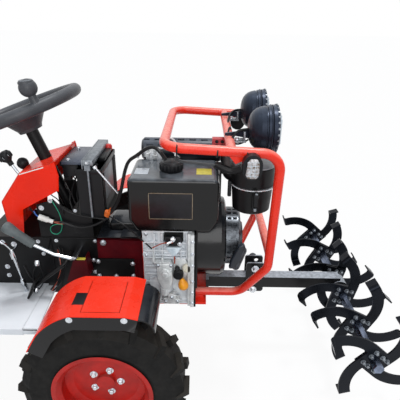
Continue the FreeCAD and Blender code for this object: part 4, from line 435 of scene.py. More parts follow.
# Black wire sheath and conduit, and the coloured sheaths of the loose wires.
BLACK_SHEATH = finish("black_vinyl_sheath", "0c0c0e", "141416", 20, 2.0, 0.02, 0.4, 0.05, shine=SATIN)
GREEN_SHEATH = finish("green_vinyl_sheath", "12a07a", "0d8a68", 20, 2.0, 0.02, 0.4, 0.05)
CLEAR_SHEATH = finish("clear_drain_tube", "d2d6d6", "b8bdbd", 20, 2.0, 0.04, 0.3, 0.06)
RED_SHEATH = finish("red_brown_vinyl_sheath", "a8452c", "8e3622", 20, 2.0, 0.02, 0.4, 0.05)
BLUE_SHEATH = finish("blue_vinyl_sheath", "2460b4", "1c4f98", 20, 2.0, 0.02, 0.4, 0.05)
ORANGE_SHEATH = finish("orange_vinyl_tape", "d8680f", "b85208", 14, 2.0, 0.05, 0.5, 0.08)
GREY_SHEATH = finish("dark_grey_hose", "3c3f42", "2e3133", 20, 2.0, 0.04, 0.4, 0.06)
# White nylon connector housing and tie, slightly yellowed.
WHITE_NYLON = finish("white_nylon_connector", "f0f0ec", "e0e0da", 20, 1.0, 0.04, 0.42, 0.06)
# Red moulded cap on the battery terminal.
RED_CAP = finish("red_moulded_cap", "c8261f", "b01c17", 16, 1.0, 0.04, 0.4, 0.06)
# Machined and oiled steel of the rotor shaft.
OILED_STEEL = finish("oiled_bright_steel", "8f9ab2", "6d7688", 20, 0.8, 0.05, 0.28, 0.1,
                     stretch=(1, 0.1, 1), Metallic=1.0)
# Ribbed lens of the side lamp: clear ribbed plastic over amber and brown.
SIDE_LENS = finish("silvery_amber_ribbed_lens", "c4c2c4", "54402a", 11, 6.0, 0.6, 0.14, 0.05,
                   shine=0.6)
# Amber and red moulded lenses of the tail lamps.
AMBER_LENS = finish("amber_moulded_lens", "e07a12", "c96408", 12, 3.0, 0.4, 0.16, 0.05)
RED_LENS = finish("red_moulded_lens", "b01812", "8e0f0c", 12, 3.0, 0.4, 0.16, 0.05)
# Head lamp glass: pressed clear glass, silvery from the reflector behind it.
LAMP_GLASS = finish("pressed_lamp_glass", "c9d2da", "aab4bd", 20, 7.0, 0.8, 0.08, 0.03,
                    shine=0.8, Metallic=0.3)
# Pink-red bracket, the enamel sprayed thin over primer.
PINK_ENAMEL = finish("thin_red_enamel_bracket", "c2343a", "a8262c", 20, 1.2, 0.05, 0.34, 0.08)
# Yellow moulded oil dipstick and cream filler cap.
YELLOW_PLASTIC = finish("yellow_moulded_dipstick", "f6a81c", "e8900f", 14, 1.0, 0.05, 0.4, 0.06)
CREAM_PLASTIC = finish("cream_moulded_cap", "e4e0d0", "d2ccb8", 14, 1.0, 0.05, 0.42, 0.06)
# Pale blue cast bracket of the injection pump.
PALE_CAST = finish("pale_blue_cast_bracket", "dfeaf0", "c2d2dc", 16, 1.0, 0.08, 0.4, 0.08, Metallic=0.2)
# Blank plates: dark film with a bronze border, silver foil, yellow foil and grey film.
DARK_FILM = finish("dark_blank_film", "1b1a1c", "232226", 30, 1.0, 0.01, 0.34, 0.05, shine=SATIN)
SILVER_FOIL = finish("silver_blank_foil", "c4cad0", "aab2ba", 10, 1.0, 0.02, 0.3, 0.08, Metallic=0.4)
YELLOW_FOIL = finish("yellow_blank_foil", "d2c64a", "b8ac3a", 10, 1.0, 0.02, 0.36, 0.08)
GREY_FILM = finish("grey_blank_film", "83878c", "6f7378", 12, 1.0, 0.02, 0.4, 0.08, shine=SATIN)
BROWN_LINE = finish("bronze_border_line", "8a7a66", "75664f", 12, 1.0, 0.02, 0.4, 0.08)
# Grey paint on the top of the air cleaner's cover.
GREY_LID = finish("grey_painted_lid", "8a8d91", "74777b", 30, 1.2, 0.05, 0.36, 0.06)

for material, names in (
    (RED_ENAMEL, ["front_fenders", "rear_fenders", "dash_cowl", "engine_cradle", "rear_deck"]),
    (TUBE_ENAMEL, ["guard_frame"]),
    (RIM_ENAMEL, ["rim_front_left", "rim_front_right", "rim_rear_left", "rim_rear_right"]),
    (MAROON_CASTING, ["gearbox", "front_axle", "rear_axle", "lever_bracket"]),
    (BLACK_GLOSS, ["fan_shroud", "front_fender_skirts", "rear_fender_skirts"]),
    (TANK_COAT, ["fuel_tank"]),
    (SHIELD_PAINT, ["muffler"]),
    (BAR_PAINT, ["tool_bar"]),
    (BLACK_SATIN, ["chassis_frame", "console", "rear_chassis", "drawbar",
                   "centre_knuckle", "pedals", "steering_column", "seat_base",
                   "air_filter", "switch_plate"]),
    (STARTER_STEEL, ["recoil_starter"]),
    (TINE_PAINT, ["tines"]),
    (OILED_STEEL, ["rotor_shaft"]),
    (DIE_CAST, ["crankcase", "cylinder"]),
    (TREAD_SHEET, ["footboards"]),
    (TYRE_RUBBER, ["tyre_front_left", "tyre_front_right", "tyre_rear_left", "tyre_rear_right"]),
    (GRIP_FOAM, ["steering_wheel"]),
    (ZINC_PLATE, ["steering_spokes"]),
    (GALVANISED, ["battery_clamp"]),
    (CHROME, ["control_levers"]),
    (LAMP_SHELL, ["headlamps"]),
    (BLACK_PLASTIC, ["marker_lamps", "tail_lamps"]),
    (BATTERY_CASE, ["battery"]),
    (SEAT_VINYL, ["seat_cushion", "seat_back"]),
):
    for name in names:
        part = bpy.data.objects[name]
        part.data.materials.clear()
        part.data.materials.append(material)

# ---------------------------------------------------------------- where things sit
# Places are in millimetres: x ahead, y to the left, z up from the floor.
tank_low, tank_high = corners_of("fuel_tank")
battery_low, battery_high = corners_of("battery")
filter_low, filter_high = corners_of("air_filter")
lid_low, lid_high = corners_of("switch_plate")
near = (0, -1, 0)
far = (0, 1, 0)
top = (0, 0, 1)
front_axle = (corners_of("rim_front_right")[0].x + corners_of("rim_front_right")[1].x) / 2
rear_axle = (corners_of("rim_rear_right")[0].x + corners_of("rim_rear_right")[1].x) / 2
axle_height = corners_of("tyre_front_right")[1].z / 2
rotor_x = (corners_of("tines")[0].x + corners_of("tines")[1].x) / 2
rotor_z = (corners_of("tines")[0].z + corners_of("tines")[1].z) / 2

# ------------------------------------------------------------------------- tank
side = tank_low.y
label = (tank_low.x + 72, tank_low.x + 225, tank_low.z + 53, tank_low.z + 153)
fit("tank_side_plate", block((label[0], side - 0.8, label[2]), (label[1], side + 1, label[3]), 0.3),
    DARK_FILM)
edge = 2.2   # width of the border
fit("tank_plate_border", [
    block((label[0], side - 1.2, label[2]), (label[1], side - 0.5, label[2] + edge), 0.2),
    block((label[0], side - 1.2, label[3] - edge), (label[1], side - 0.5, label[3]), 0.2),
    block((label[0], side - 1.2, label[2]), (label[0] + edge, side - 0.5, label[3]), 0.2),
    block((label[1] - edge, side - 1.2, label[2]), (label[1], side - 0.5, label[3]), 0.2),
], BROWN_LINE)
lid = tank_high.z - 34
fit("tank_silver_plate", block((tank_low.x + 18, -136, lid - 1), (tank_low.x + 66, -78, lid + 0.8), 0.3),
    SILVER_FOIL)
fit("tank_yellow_plate", block((tank_high.x - 80, -133, lid - 1), (tank_high.x - 26, -74, lid + 0.8), 0.3),
    YELLOW_FOIL)
cap_x = tank_low.x + 146
cap_y = tank_low.y + 98
fit("tank_cap", [
    turned([(0, 0), (0, 39), (3, 41), (24, 40), (30, 34), (33, 30), (33, 0)],
           (cap_x, cap_y, tank_high.z - 32),
           top, 56),
] + [block((cap_x + 40 * math.cos(turn) - 3, cap_y + 40 * math.sin(turn) - 3, tank_high.z - 28),
           (cap_x + 40 * math.cos(turn) + 3, cap_y + 40 * math.sin(turn) + 3, tank_high.z - 7), 1.5)
     for turn in [math.tau * number / 18 for number in range(18)]], BLACK_PLASTIC)

# ------------------------------------------------------------------ engine face
wall = -170   # right-hand face of the crankcase
fit("crankcase_ribs",
    [block((x, wall - 16, 556), (x + 5, wall - 4, 662), 1.2) for x in (334, 363, 430, 452)]
    + [block((296, wall - 15, z), (468, wall - 4, z + 5), 1.2) for z in (622, 588, 558)]
    + [block((300, wall - 13, z), (348, wall - 4, z + 4), 1.2) for z in (520, 486, 452)], DIE_CAST)
fit("pump_flange", pressed([(372, 636), (384, 616), (430, 616), (442, 636), (442, 666), (372, 666)],
                           "y", wall - 18, wall - 6, 2), BLACK_DULL)
fit("injection_pump", [
    pressed([(376, 640), (384, 624), (430, 624), (438, 640), (434, 662), (380, 662)], "y", wall - 38,
            wall - 8, 4),
    turned(peg(12, 12, 10, 9), (407, wall - 38, 648), near),
], BLACK_PLASTIC)
fit("pump_bracket", pressed([(380, 616), (434, 616), (430, 604), (412, 578), (402, 578), (384, 604)],
                            "y", wall - 32, wall - 10, 3), PALE_CAST)
fit("pump_nozzle", [
    turned([(0, 0), (0, 9), (8, 9), (10, 6), (18, 6), (20, 4), (20, 0)], (407, wall - 44, 656),
           (0, -0.7, 0.5), 24),
    turned(peg(4, 24, 22, 2), (407, wall - 50, 652), (-0.6, -0.3, -0.1), 16),
], ZINC_PLATE)
fit("filter_housing", [
    pressed([(344, 548), (402, 548), (404, 470), (392, 428), (366, 428), (346, 470)], "y", wall - 34,
            wall - 6, 7, 3),
    turned(peg(20, 8, 5, 15), (377, wall - 33, 508), near),
    turned(peg(12, 14, 12, 9), (377, wall - 38, 508), near),
    turned(peg(17, 30, 26, 13), (372, wall - 20, 432), (0, 0, -1)),
], BRIGHT_CAST)
fit("governor_bracket", [
    block((330, wall - 38, 549), (396, wall - 8, 556), 1.5),
    block((330, wall - 38, 549), (338, wall - 8, 572), 1.5),
    block((362, wall - 38, 552), (370, wall - 30, 574), 1.5),
    cable([(334, wall - 30, 570), (334, wall - 32, 600), (328, wall - 28, 628)], 3),
], BRIGHT_CAST)
fit("governor_cover", pressed([(404, 560), (452, 556), (466, 500), (446, 470), (408, 476)],
                              "y", wall - 14, wall - 4, 3), BRIGHT_CAST)
fit("black_filler_knob", [
    turned([(0, 0), (0, 12), (14, 12), (16, 19), (32, 19), (36, 15), (36, 0)], (424, wall - 6, 500), near),
    turned(peg(9, 16, 14, 7), (419, wall - 20, 522), (0.1, -1, 0.3)),
], BLACK_PLASTIC)
fit("oil_dipstick", turned([(0, 0), (2, 10), (8, 17), (18, 19.5), (30, 17), (42, 10), (50, 5), (54, 0)],
                           (446, wall - 34, 436), (-0.2, 0, 1)), YELLOW_PLASTIC)
fit("cream_filler_cap", turned(peg(18, 20, 16, 14), (456, wall - 6, 520), near), CREAM_PLASTIC)
fit("drain_cap", [
    turned([(0, 0), (0, 13), (22, 13), (24, 19), (38, 19), (42, 15), (42, 0)], (308, wall - 4, 424), near),
    turned(peg(16, 20, 16, 12), (318, wall - 8, 392), near),
], BLACK_PLASTIC)
fit("sump_fittings", [
    block((366, wall - 36, 366), (430, wall - 6, 392), 5, 3),
    block((384, wall - 38, 388), (414, wall - 6, 412), 4, 3),
    turned(peg(10, 14, 12, 7), (336, wall - 12, 404), near, 6),
    turned(peg(12, 12, 10, 9), (346, wall - 12, 376), near, 6),
    turned(peg(7, 28, 26, 5), (352, wall - 22, 384), (-0.3, 0, 1), 12),
], BRIGHT_CAST)
fit("flange_strip", [
    block((468, wall - 34, 352), (482, wall + 6, 668), 1.2),
    block((458, wall - 26, 352), (468, wall - 2, 668), 1.0),
], BRIGHT_CAST)
fit("flange_gasket", block((482, wall - 31, 352), (489, wall + 8, 669), 0.6), BLACK_DULL)
fit("fuel_pipes", [
    cable([(407, wall - 56, 650), (386, wall - 52, 648), (366, wall - 46, 640), (346, wall - 40, 626),
           (332, wall - 36, 616)], 4),
    cable([(410, wall - 30, 578), (412, wall - 32, 562), (410, wall - 30, 548)], 5),
], RED_SHEATH)
rows = [(476, height) for height in (372, 420, 470, 540, 590, 640)]
fasteners("flange_bolts", [((x, wall - 34, z), near, 0.8) for x, z in rows]
          + [((384, wall - 38, 634), near, 0.9), ((430, wall - 38, 634), near, 0.9),
             ((306, wall - 7, 656), near, 0.8), ((306, wall - 7, 566), near, 0.8),
             ((330, wall - 7, 470), near, 0.7),
             ((350, wall - 34, 540), near, 0.8), ((397, wall - 34, 540), near, 0.8),
             ((398, wall - 38, 400), near, 0.8),
             ((420, wall - 36, 380), near, 0.8), ((376, wall - 36, 380), near, 0.8)], ZINC_PLATE)
fit("rocker_cover", [
    block((tank_low.x + 34, tank_high.y + 4, 884), (tank_low.x + 96, tank_high.y + 22, 912), 5, 3),
    turned([(0, 0), (0, 12), (14, 12), (16, 8), (30, 8), (32, 0)], (tank_low.x + 44, 30, 882), top, 20),
    turned([(0, 0), (0, 9), (10, 9), (12, 6), (34, 6), (36, 0)], (tank_low.x + 74, 26, 880), (0.1, -0.2, 1),
           20),
], BRIGHT_CAST)
fit("injector_pipes", [
    cable([(tank_low.x + 80, 20, 914), (tank_low.x + 110, 6, 924), (tank_low.x + 146, 0, 912),
           (tank_low.x + 170, 10, 886)], 6),
    cable([(tank_low.x + 40, 24, 900), (tank_low.x + 20, 4, 906), (tank_low.x + 14, -10, 888)], 8),
], ZINC_PLATE)

# -------------------------------------------------------------- battery and lid
fit("battery_lid", [
    block((battery_low.x - 2, battery_low.y - 2, battery_high.z - 30),
          (battery_high.x + 2, battery_high.y + 2,
                                                                        battery_high.z - 12), 3),
    block((battery_low.x + 58, -34, battery_high.z - 14), (battery_high.x - 4, 84, battery_high.z + 4), 3),
    block((battery_low.x + 4, 12, battery_high.z - 14), (battery_low.x + 30, 96, battery_high.z - 4), 2),
], BATTERY_CASE)
fit("terminal_cap", turned(peg(15, 22, 16, 11),
                           (battery_high.x - 18, battery_high.y - 24, battery_high.z - 8), top), RED_CAP)
fit("battery_front_film", block((battery_high.x - 1, -74, battery_low.z + 52), (battery_high.x + 1, 58,
                                                                                battery_high.z - 36), 0.3),
    GREY_FILM)
fit("battery_lid_grip", [block((battery_high.x, place, battery_low.z + 8), (battery_high.x + 3, place + 5,
                                                                            battery_high.z - 34), 1)
                         for place in (-112, -96, 78, 94, 110)], BATTERY_CASE)
post = battery_low.x + 44
fit("clamp_front_rod", [
    turned(rod(3, 121), (battery_high.x - 17, battery_low.y - 8, battery_high.z - 1),
           (0.6, 0, -0.8), 12),
    turned(peg(7, 11, 9, 4), (battery_high.x - 21, battery_low.y - 8,
                                                        battery_high.z + 3), (0.6, 0, -0.8), 16),
], ZINC_PLATE)
fit("clamp_channel", [
    block((90, battery_low.y - 10, 897), (126, battery_high.y + 10, 916), 2),
    block((86, battery_low.y - 10, 884), (90, battery_high.y + 10, 916), 1),
], GALVANISED)
fit("clamp_wing_nuts", [
    turned([(0, 0), (0, 8), (9, 7), (9, 0)], (post, place, battery_high.z + 12), top, 6)
    for place in (battery_low.y - 7, battery_high.y + 7)
] + [block((post - 15, place - 2, battery_high.z + 14), (post + 15, place + 2, battery_high.z + 22), 2)
     for place in (battery_low.y - 7, battery_high.y + 7)], ZINC_PLATE)
# A thin blue-grey skin over the black switch plate, whose blue-grey is partly painted sky reflection.
fit("switch_lid", [
    block((lid_low.x + 6, lid_low.y - 3, lid_high.z), (86, lid_high.y + 3, lid_high.z + 2), 0.8),
    block((lid_low.x + 6, lid_low.y - 3, lid_high.z - 9), (86, lid_low.y - 1, lid_high.z + 1), 0.6),
], LID_PAINT)
fasteners("lid_screws",
          [((lid_low.x + 26, place, lid_high.z + 2), top, 1.0) for place in (lid_low.y + 16, 66)],
          ZINC_PLATE, sides=16, height=3, washer=7)
fit("relay_box", [
    block((lid_low.x + 4, -82, lid_low.z - 42), (lid_high.x - 4, -24, lid_low.z - 1), 3),
    block((lid_low.x - 2, -64, lid_low.z - 66), (lid_low.x + 26, -34, lid_low.z - 40), 3),
], BLACK_PLASTIC)

# ------------------------------------------------------------------------- cowl
cowl = -130   # right-hand skin of the cowl
cowl_end = [(-22, 796), (-22, 903), (-9, 908), (2, 856), (-8, 800)]
fit("cowl_front_edge",
    [pressed(cowl_end, "y", low, low + 4, 0.8) for low in (cowl - 1, -cowl - 3)]
    + [cable([(-9, place, 907), (3, place, 856), (-8, place, 798)], 5) for place in (cowl, -cowl)]
    + [cable([(-9, cowl, 907), (-9, 0, 907), (-9, -cowl, 907)], 6)], RED_ENAMEL)
# A thin white strip along the cowl's bend is a painted highlight where the bend catches the light.
fit("cowl_pale_stripe",
    pressed([(-138, 858), (-48, 886), (-48, 889.5), (-138, 861.5)], "y", cowl - 0.6, cowl + 1, 0.2),
    WHITE_NYLON)

# ------------------------------------------------------ bolts on the side plates
plate = -120   # right-hand chassis plate
shelf = -118   # right-hand wall of the console
upper = [((-46, shelf, 755), 0.9), ((-82, shelf, 726), 1.1), ((41, shelf, 716), 0.8)]
lower = [((-208, plate, 572), 1.2), ((-114, plate, 585), 0.9), ((-100, plate, 531), 0.9),
         ((-44, plate, 590), 0.8),
         ((91, plate, 505), 1.0), ((93, plate, 451), 1.0), ((134, plate, 584), 1.3),
         ((103, plate, 590), 0.8),
         ((-250, plate, 430), 1.0), ((-420, plate, 570), 1.1), ((-420, plate, 400), 1.1),
         ((-320, plate, 560), 1.0)]
right = [(point, near, size) for point, size in upper + lower]
left = [((point[0], -point[1], point[2]), far, size) for point, size in upper + lower]
fasteners("side_plate_bolts", right + left, ZINC_PLATE)
fit("side_plate_seams", [
    cable([(-64, plate - 1, 600), (-60, plate - 1, 540), (-66, plate - 1, 470), (-60, plate - 1, 400)], 3),
    block((-96, plate - 2, 597), (108, plate + 2, 604), 1.5),
    block((-100, -plate - 2, 597), (108, -plate + 2, 604), 1.5),
], BLACK_SATIN)
cover = [(100, 426), (250, 426), (250, 516), (100, 516)]
fit("gearbox_cover_plates",
    [pressed(cover, "y", plate - 8, plate, 1.5), pressed(cover, "y", -plate, -plate + 8, 1.5)],
    BLACK_DULL)
fasteners("gearbox_cover_bolts", [((x, sign * (8 - plate), z), (0, sign, 0), 1.0) for sign in (-1, 1)
                                  for x, z in ((110, 505), (110, 440), (243, 496), (243, 440), (176, 438))],
          ZINC_PLATE)
fit("gearbox_top_plates", [
    block((112, -116, 602), (200, 116, 606), 1.5), block((200, -118, 602), (278, 118, 612), 3),
    block((150, -60, 604), (262, 60, 640), 8, 3),
], BLACK_GLOSS)

# ------------------------------------------------------------ wires and cables
loose = -131   # where the loose wires hang, just outside the right-hand plate
fit("green_wire", cable([(-34, loose, 760), (-17, loose, 724), (-10, loose, 692), (-9, loose, 658),
                         (-18, loose, 633), (-34, loose, 622), (-52, loose, 628), (-57, loose, 645),
                         (-48, loose, 660), (-24, loose, 668), (-8, loose, 664)], 3), GREEN_SHEATH)
fit("white_connector", [
    turned([(0, 0), (0, 11), (34, 11), (38, 8), (54, 8), (56, 0)], (-92, loose + 2, 695), (0.93, 0, -0.37),
           12),
    turned(rod(12, 4), (-80, loose + 2, 690), (0.93, 0, -0.37), 12),
], WHITE_NYLON)
fit("connector_wires", [
    cable([(-38, loose, 674), (-24, loose, 668), (-8, loose, 668), (8, loose + 4, 664)], 4),
    cable([(-40, loose, 676), (-24, loose + 2, 674), (-8, loose + 4, 672)], 3),
], RED_SHEATH)
fit("blue_wire", cable([(-92, loose + 2, 695), (-104, loose + 2, 702), (-108, loose + 6, 716)], 5),
    BLUE_SHEATH)
fit("black_wires", [
    cable([(-33, loose, 768), (-8, loose, 740), (25, loose, 713), (68, loose, 701), (119, loose, 694),
           (151, loose, 690)], 5),
    cable([(-16, loose, 679), (12, loose, 663), (56, loose, 653), (101, loose, 660), (136, loose, 678),
           (160, loose, 694)], 9),
    cable([(-60, -112, 800), (-40, -116, 776), (-20, -110, 760), (-4, -118, 730), (-2, -124, 700)], 4),
    cable([(10, -90, 838), (4, -96, 806), (22, -84, 776), (16, -96, 744), (30, -110, 716)], 5),
    cable([(34, -70, 836), (52, -78, 800), (44, -90, 770), (54, -104, 740), (48, -112, 712)], 4),
    cable([(46, -60, 836), (28, -60, 800), (20, -80, 770), (40, -100, 736)], 6),
    cable([(-104, -122, 700), (-118, -116, 706), (-128, -112, 724)], 6),
    cable([(-66, -121, 604), (-70, -128, 580), (-86, -126, 552), (-76, -128, 522)], 5),
], BLACK_SHEATH)
fit("stop_wire", cable([(160, -132, 708), (190, -150, 702), (249, -172, 672), (300, -182, 624),
                        (328, -184, 598)], 5),
    BLACK_SHEATH)
fit("orange_tape", [
    turned([(0, 0), (0, 11), (10, 12), (20, 11), (20, 0)], (160, -130, 704), (0.3, -0.1, 1), 16),
    turned([(0, 0), (0, 9), (8, 10), (16, 9), (16, 0)], (172, -132, 718), (0.4, -0.1, 0.6), 16),
], ORANGE_SHEATH)
fit("tank_conduit", cable([(392, -262, 968), (372, -246, 992), (350, -226, 1000), (322, -206, 986),
                           (290, -196, 958), (262, -190, 940), (246, -182, 900), (236, -178, 860),
                           (224, -170, 812), (208, -160, 770), (190, -146, 736), (172, -134, 716)], 12),
    BLACK_SHEATH)
fit("second_conduit", cable([(230, -166, 830), (214, -160, 790), (196, -150, 756), (186, -142, 742),
                             (170, -134, 720)], 8), BLACK_SHEATH)
fit("grey_hose", cable([(418, -236, 966), (432, -222, 950), (470, -212, 944), (510, -206, 936),
                        (556, -204, 932)],
                       9), GREY_SHEATH)
fit("black_hose", [
    cable([(556, -206, 934), (584, -206, 918), (612, -210, 916), (636, -220, 932)], 26),
    turned([(0, 0), (0, 11), (12, 12), (40, 12), (44, 9), (44, 0)], (548, -206, 938), (0.9, 0, -0.45), 20),
], BLACK_SHEATH)
fit("clear_tube_loop", cable([(376, -168, 984), (386, -164, 1004), (400, -164, 1012), (414, -166, 1002),
                              (419, -170, 984), (416, -186, 956)], 7), CLEAR_SHEATH)
rail = -270   # middle of the right-hand tube of the guard
fit("cable_ties", [
    turned(rod(18.5, 4), (x, rail, z), (1, 0, -0.05), 24)
    for x, z in ((425, 1006), (549, 999), (640, 994))
] + [cable([(425, rail, 990), (425, rail + 30, 960), (427, rail + 60, 948)], 3)], BLACK_SHEATH)
fit("lever_bracket_wires", [
    cable([(-46, -128, 560), (-30, -150, 520), (-26, -166, 470), (-50, -176, 430), (-70, -178, 404)], 6),
    cable([(-36, -128, 566), (-14, -156, 520), (-12, -170, 470), (-40, -176, 420), (-60, -180, 402)], 5),
    cable([(-24, -128, 560), (-4, -150, 500), (-20, -176, 440), (-30, -182, 404)], 4),
], BLACK_SHEATH)
fit("lever_bracket_red_wires", [
    cable([(-40, -130, 556), (-22, -156, 510), (-34, -172, 452), (-64, -182, 402)], 4),
], RED_SHEATH)
fit("bracket_mark", block((42, -178, 541), (76, -166, 546), 1), YELLOW_FOIL)

# ------------------------------------------------------------------- hand levers
grip_start = Vector((front_axle - 298, -200, 619))
grip_end = Vector((front_axle - 375, -200, 682))
length = (grip_end - grip_start).length
fit("hand_lever_grip", [
    turned([(-4, 0), (-4, 12), (0, 15.5), (length * 0.7, 17), (length, 21), (length + 12, 21.5),
            (length + 20, 16),
            (length + 23, 0)], grip_start, grip_end - grip_start),
] + [turned([(share * length, 0), (share * length, 17.4), (share * length + 3, 17.4),
             (share * length + 3, 0)],
            grip_start, grip_end - grip_start) for share in (0.12, 0.24, 0.36, 0.48, 0.6)], GRIP_RUBBER)
knob = Vector((front_axle - 379, -118, 922))
lean = Vector((-math.sin(math.radians(30)), 0, math.cos(math.radians(30))))
lobes = []
for number in range(6):
    turn = math.tau * number / 6
    out = Vector((math.cos(math.radians(30)) * math.cos(turn), math.sin(turn),
                  math.sin(math.radians(30)) * math.cos(turn)))
    lobes.append(turned([(-10, 0), (-10, 7), (-6, 9.5), (8, 9.5), (11, 7), (11, 0)], knob + out * 17, lean,
                        16))
lobes.append(turned([(-22, 0), (-22, 9), (-12, 18), (12, 21), (18, 16), (21, 0)], knob, lean, 28))
lobes.append(turned([(-36, 0), (-36, 9), (-22, 10), (-22, 0)], knob, lean, 20))
fit("star_knob", lobes, BLACK_PLASTIC)
knob = Vector((front_axle - 359, -38, 871))
fit("round_knob", [
    turned([(-30, 0), (-30, 10), (-22, 13), (-14, 18), (-4, 21.4), (6, 20.6), (14, 15), (19, 8), (21.2, 0)],
           knob, lean, 32),
], BLACK_PLASTIC)

# ---------------------------------------------------------------------- lamps
glass_x = corners_of("headlamps")[1].x
lamp_z = 1042
for place, side_name in ((-145, "right"), (145, "left")):
    dome = [(-9.6 + 10.2 * math.cos(math.radians(turn)), 69.4 * math.sin(math.radians(turn)))
            for turn in range(90, -1, -15)]
    fit("lamp_glass_" + side_name, turned([(-13, 0), (-13, 69.4)] + dome[:-1] + [(0.6, 0)],
                                          (glass_x, place, lamp_z), (1, 0, 0), 48), LAMP_GLASS)
    fit("lamp_glass_flutes_" + side_name, [
        cable([(glass_x - 9 + 10.2 * math.sqrt(1 - (across / 70) ** 2) * 0.96, place + across,
                lamp_z + rise)
               for rise in (-math.sqrt(64 ** 2 - across ** 2) * 0.8, 0,
                            math.sqrt(64 ** 2 - across ** 2) * 0.8)], 3)
        for across in (-40, -20, 0, 20, 40)], LAMP_GLASS)
    fit("lamp_ring_" + side_name, [
        turned([(-17, 0), (-17, 79), (-13, 80), (-10, 78), (-10, 0)], (glass_x, place, lamp_z), (1, 0, 0),
               48),
        turned([(-36, 0), (-36, 77), (-33, 79), (-30, 77), (-30, 0)], (glass_x, place, lamp_z), (1, 0, 0),
               48),
    ], LAMP_SHELL)
    studs = [((glass_x - 13.5, place + 79.5 * math.cos(turn), lamp_z + 79.5 * math.sin(turn)),
              (0, math.cos(turn), math.sin(turn)),
              1.0) for turn in [math.tau * number / 26 for number in range(26)]]
    fasteners("lamp_ring_studs_" + side_name, studs, GALVANISED, radius=3.4, height=1.0, sides=4,
              washer=3.6,
              thick=0.3)
fit("lamp_wires", [
    cable([(668, -145, 1040), (640, -150, 1040), (616, -158, 1034), (600, -168, 1010), (586, -184, 984),
           (580, -210, 976)], 9),
    cable([(668, 145, 1040), (640, 140, 1044), (612, 110, 1036), (600, 60, 1014), (596, 0, 1012),
           (592, -90, 1010),
           (584, -180, 990)], 9),
    cable([(660, -130, 1000), (636, -132, 984), (610, -150, 990), (590, -170, 1002)], 6),
    cable([(606, -40, 1012), (600, -70, 1030), (592, -100, 1020), (590, -140, 1000)], 6),
], BLACK_SHEATH)
fit("lamp_brackets",
    [block((600, place - 22, 1000), (648, place + 22, 1005), 1) for place in (-150, 150)]
    + [block((640, place - 18, 1000), (646, place + 18, 1034), 1) for place in (-150, 150)], GALVANISED)
fit("lamp_relay_bracket", block((540, -66, 948), (588, -36, 982), 2), PINK_ENAMEL)
gusset = [(586, 990), (640, 990), (634, 974), (608, 962)]
fit("lamp_tube_gusset", [pressed(gusset, "y", place - 6, place + 6, 1.5) for place in (rail, -rail)],
    TUBE_ENAMEL)
fasteners("relay_bracket_screws", [((x, -66, z), near, 0.7) for x in (556, 576) for z in (956, 972)],
          BLACK_PLASTIC)
fasteners("lamp_bracket_bolts", [((620, place, 1005), top, 1.0) for place in (-150, 150)], ZINC_PLATE)
for sign, side_name in ((-1, "right"), (1, "left")):
    low, high = corners_of("marker_lamps")
    outer = low.y if sign < 0 else high.y
    middle = (low.x + high.x) / 2
    oval = [(middle - 21, low.z + 18), (middle - 14, low.z + 8), (middle + 12, low.z + 8),
            (middle + 19, low.z + 18),
            (middle + 20, low.z + 54), (middle + 13, low.z + 70), (middle - 9, low.z + 70),
            (middle - 17, low.z + 58)]
    fit("side_lamp_lens_" + side_name, pressed(oval, "y", min(outer - sign * 2, outer + sign * 9),
                                               max(outer - sign * 2, outer + sign * 9), 4, 3), SIDE_LENS)
    bars = [block((middle - 18, min(outer + sign * 6, outer + sign * 10), low.z + height),
                  (middle + 17, max(outer + sign * 6, outer + sign * 10), low.z + height + 1.6), 0.6)
            for height in range(16, 66, 11)]
    uprights = [block((middle + across - 1, min(outer + sign * 6, outer + sign * 10.4), low.z + 12),
                      (middle + across + 1, max(outer + sign * 6, outer + sign * 10.4), low.z + 56), 0.8)
                for across in (-6, 6)]
    fit("side_lamp_ribs_" + side_name, bars + uprights, LAMP_GLASS)

# -------------------------------------------------------------------- air cleaner
filter_x = filter_high.x - 76
filter_y = filter_low.y + 76
fit("air_cleaner_band", turned([(0, 0), (0, 77.5), (1, 78.6), (3, 78.6), (4, 77.5), (4, 0)],
                               (filter_x, filter_y, 848), top, 56), ZINC_PLATE)
fit("air_cleaner_side_latch",
    block((filter_x - 88, filter_y - 10, 800), (filter_x - 75, filter_y + 6, 858), 3),
    BLACK_PLASTIC)
fit("air_cleaner_clip", [
    block((filter_x - 4, filter_y - 84, 796), (filter_x + 8, filter_y - 73, 850), 2),
    block((filter_x - 6, filter_y - 90, 826), (filter_x + 10, filter_y - 80, 842), 3),
], BLACK_PLASTIC)
fit("clip_hook", [block((filter_x - 4, filter_y - 87, 780), (filter_x + 6, filter_y - 76, 790), 2),
                  block((filter_x - 2, filter_y - 88, 830), (filter_x + 7, filter_y - 82, 846), 1.5)],
    GALVANISED)
fit("air_cleaner_lid", [
    turned([(0, 0), (0, 72), (3, 71), (6, 60), (7, 0)], (filter_x, filter_y, filter_high.z - 5), top, 56),
    turned([(0, 0), (0, 14), (8, 12), (9, 0)], (filter_x, filter_y, filter_high.z), top, 24),
], GREY_LID)

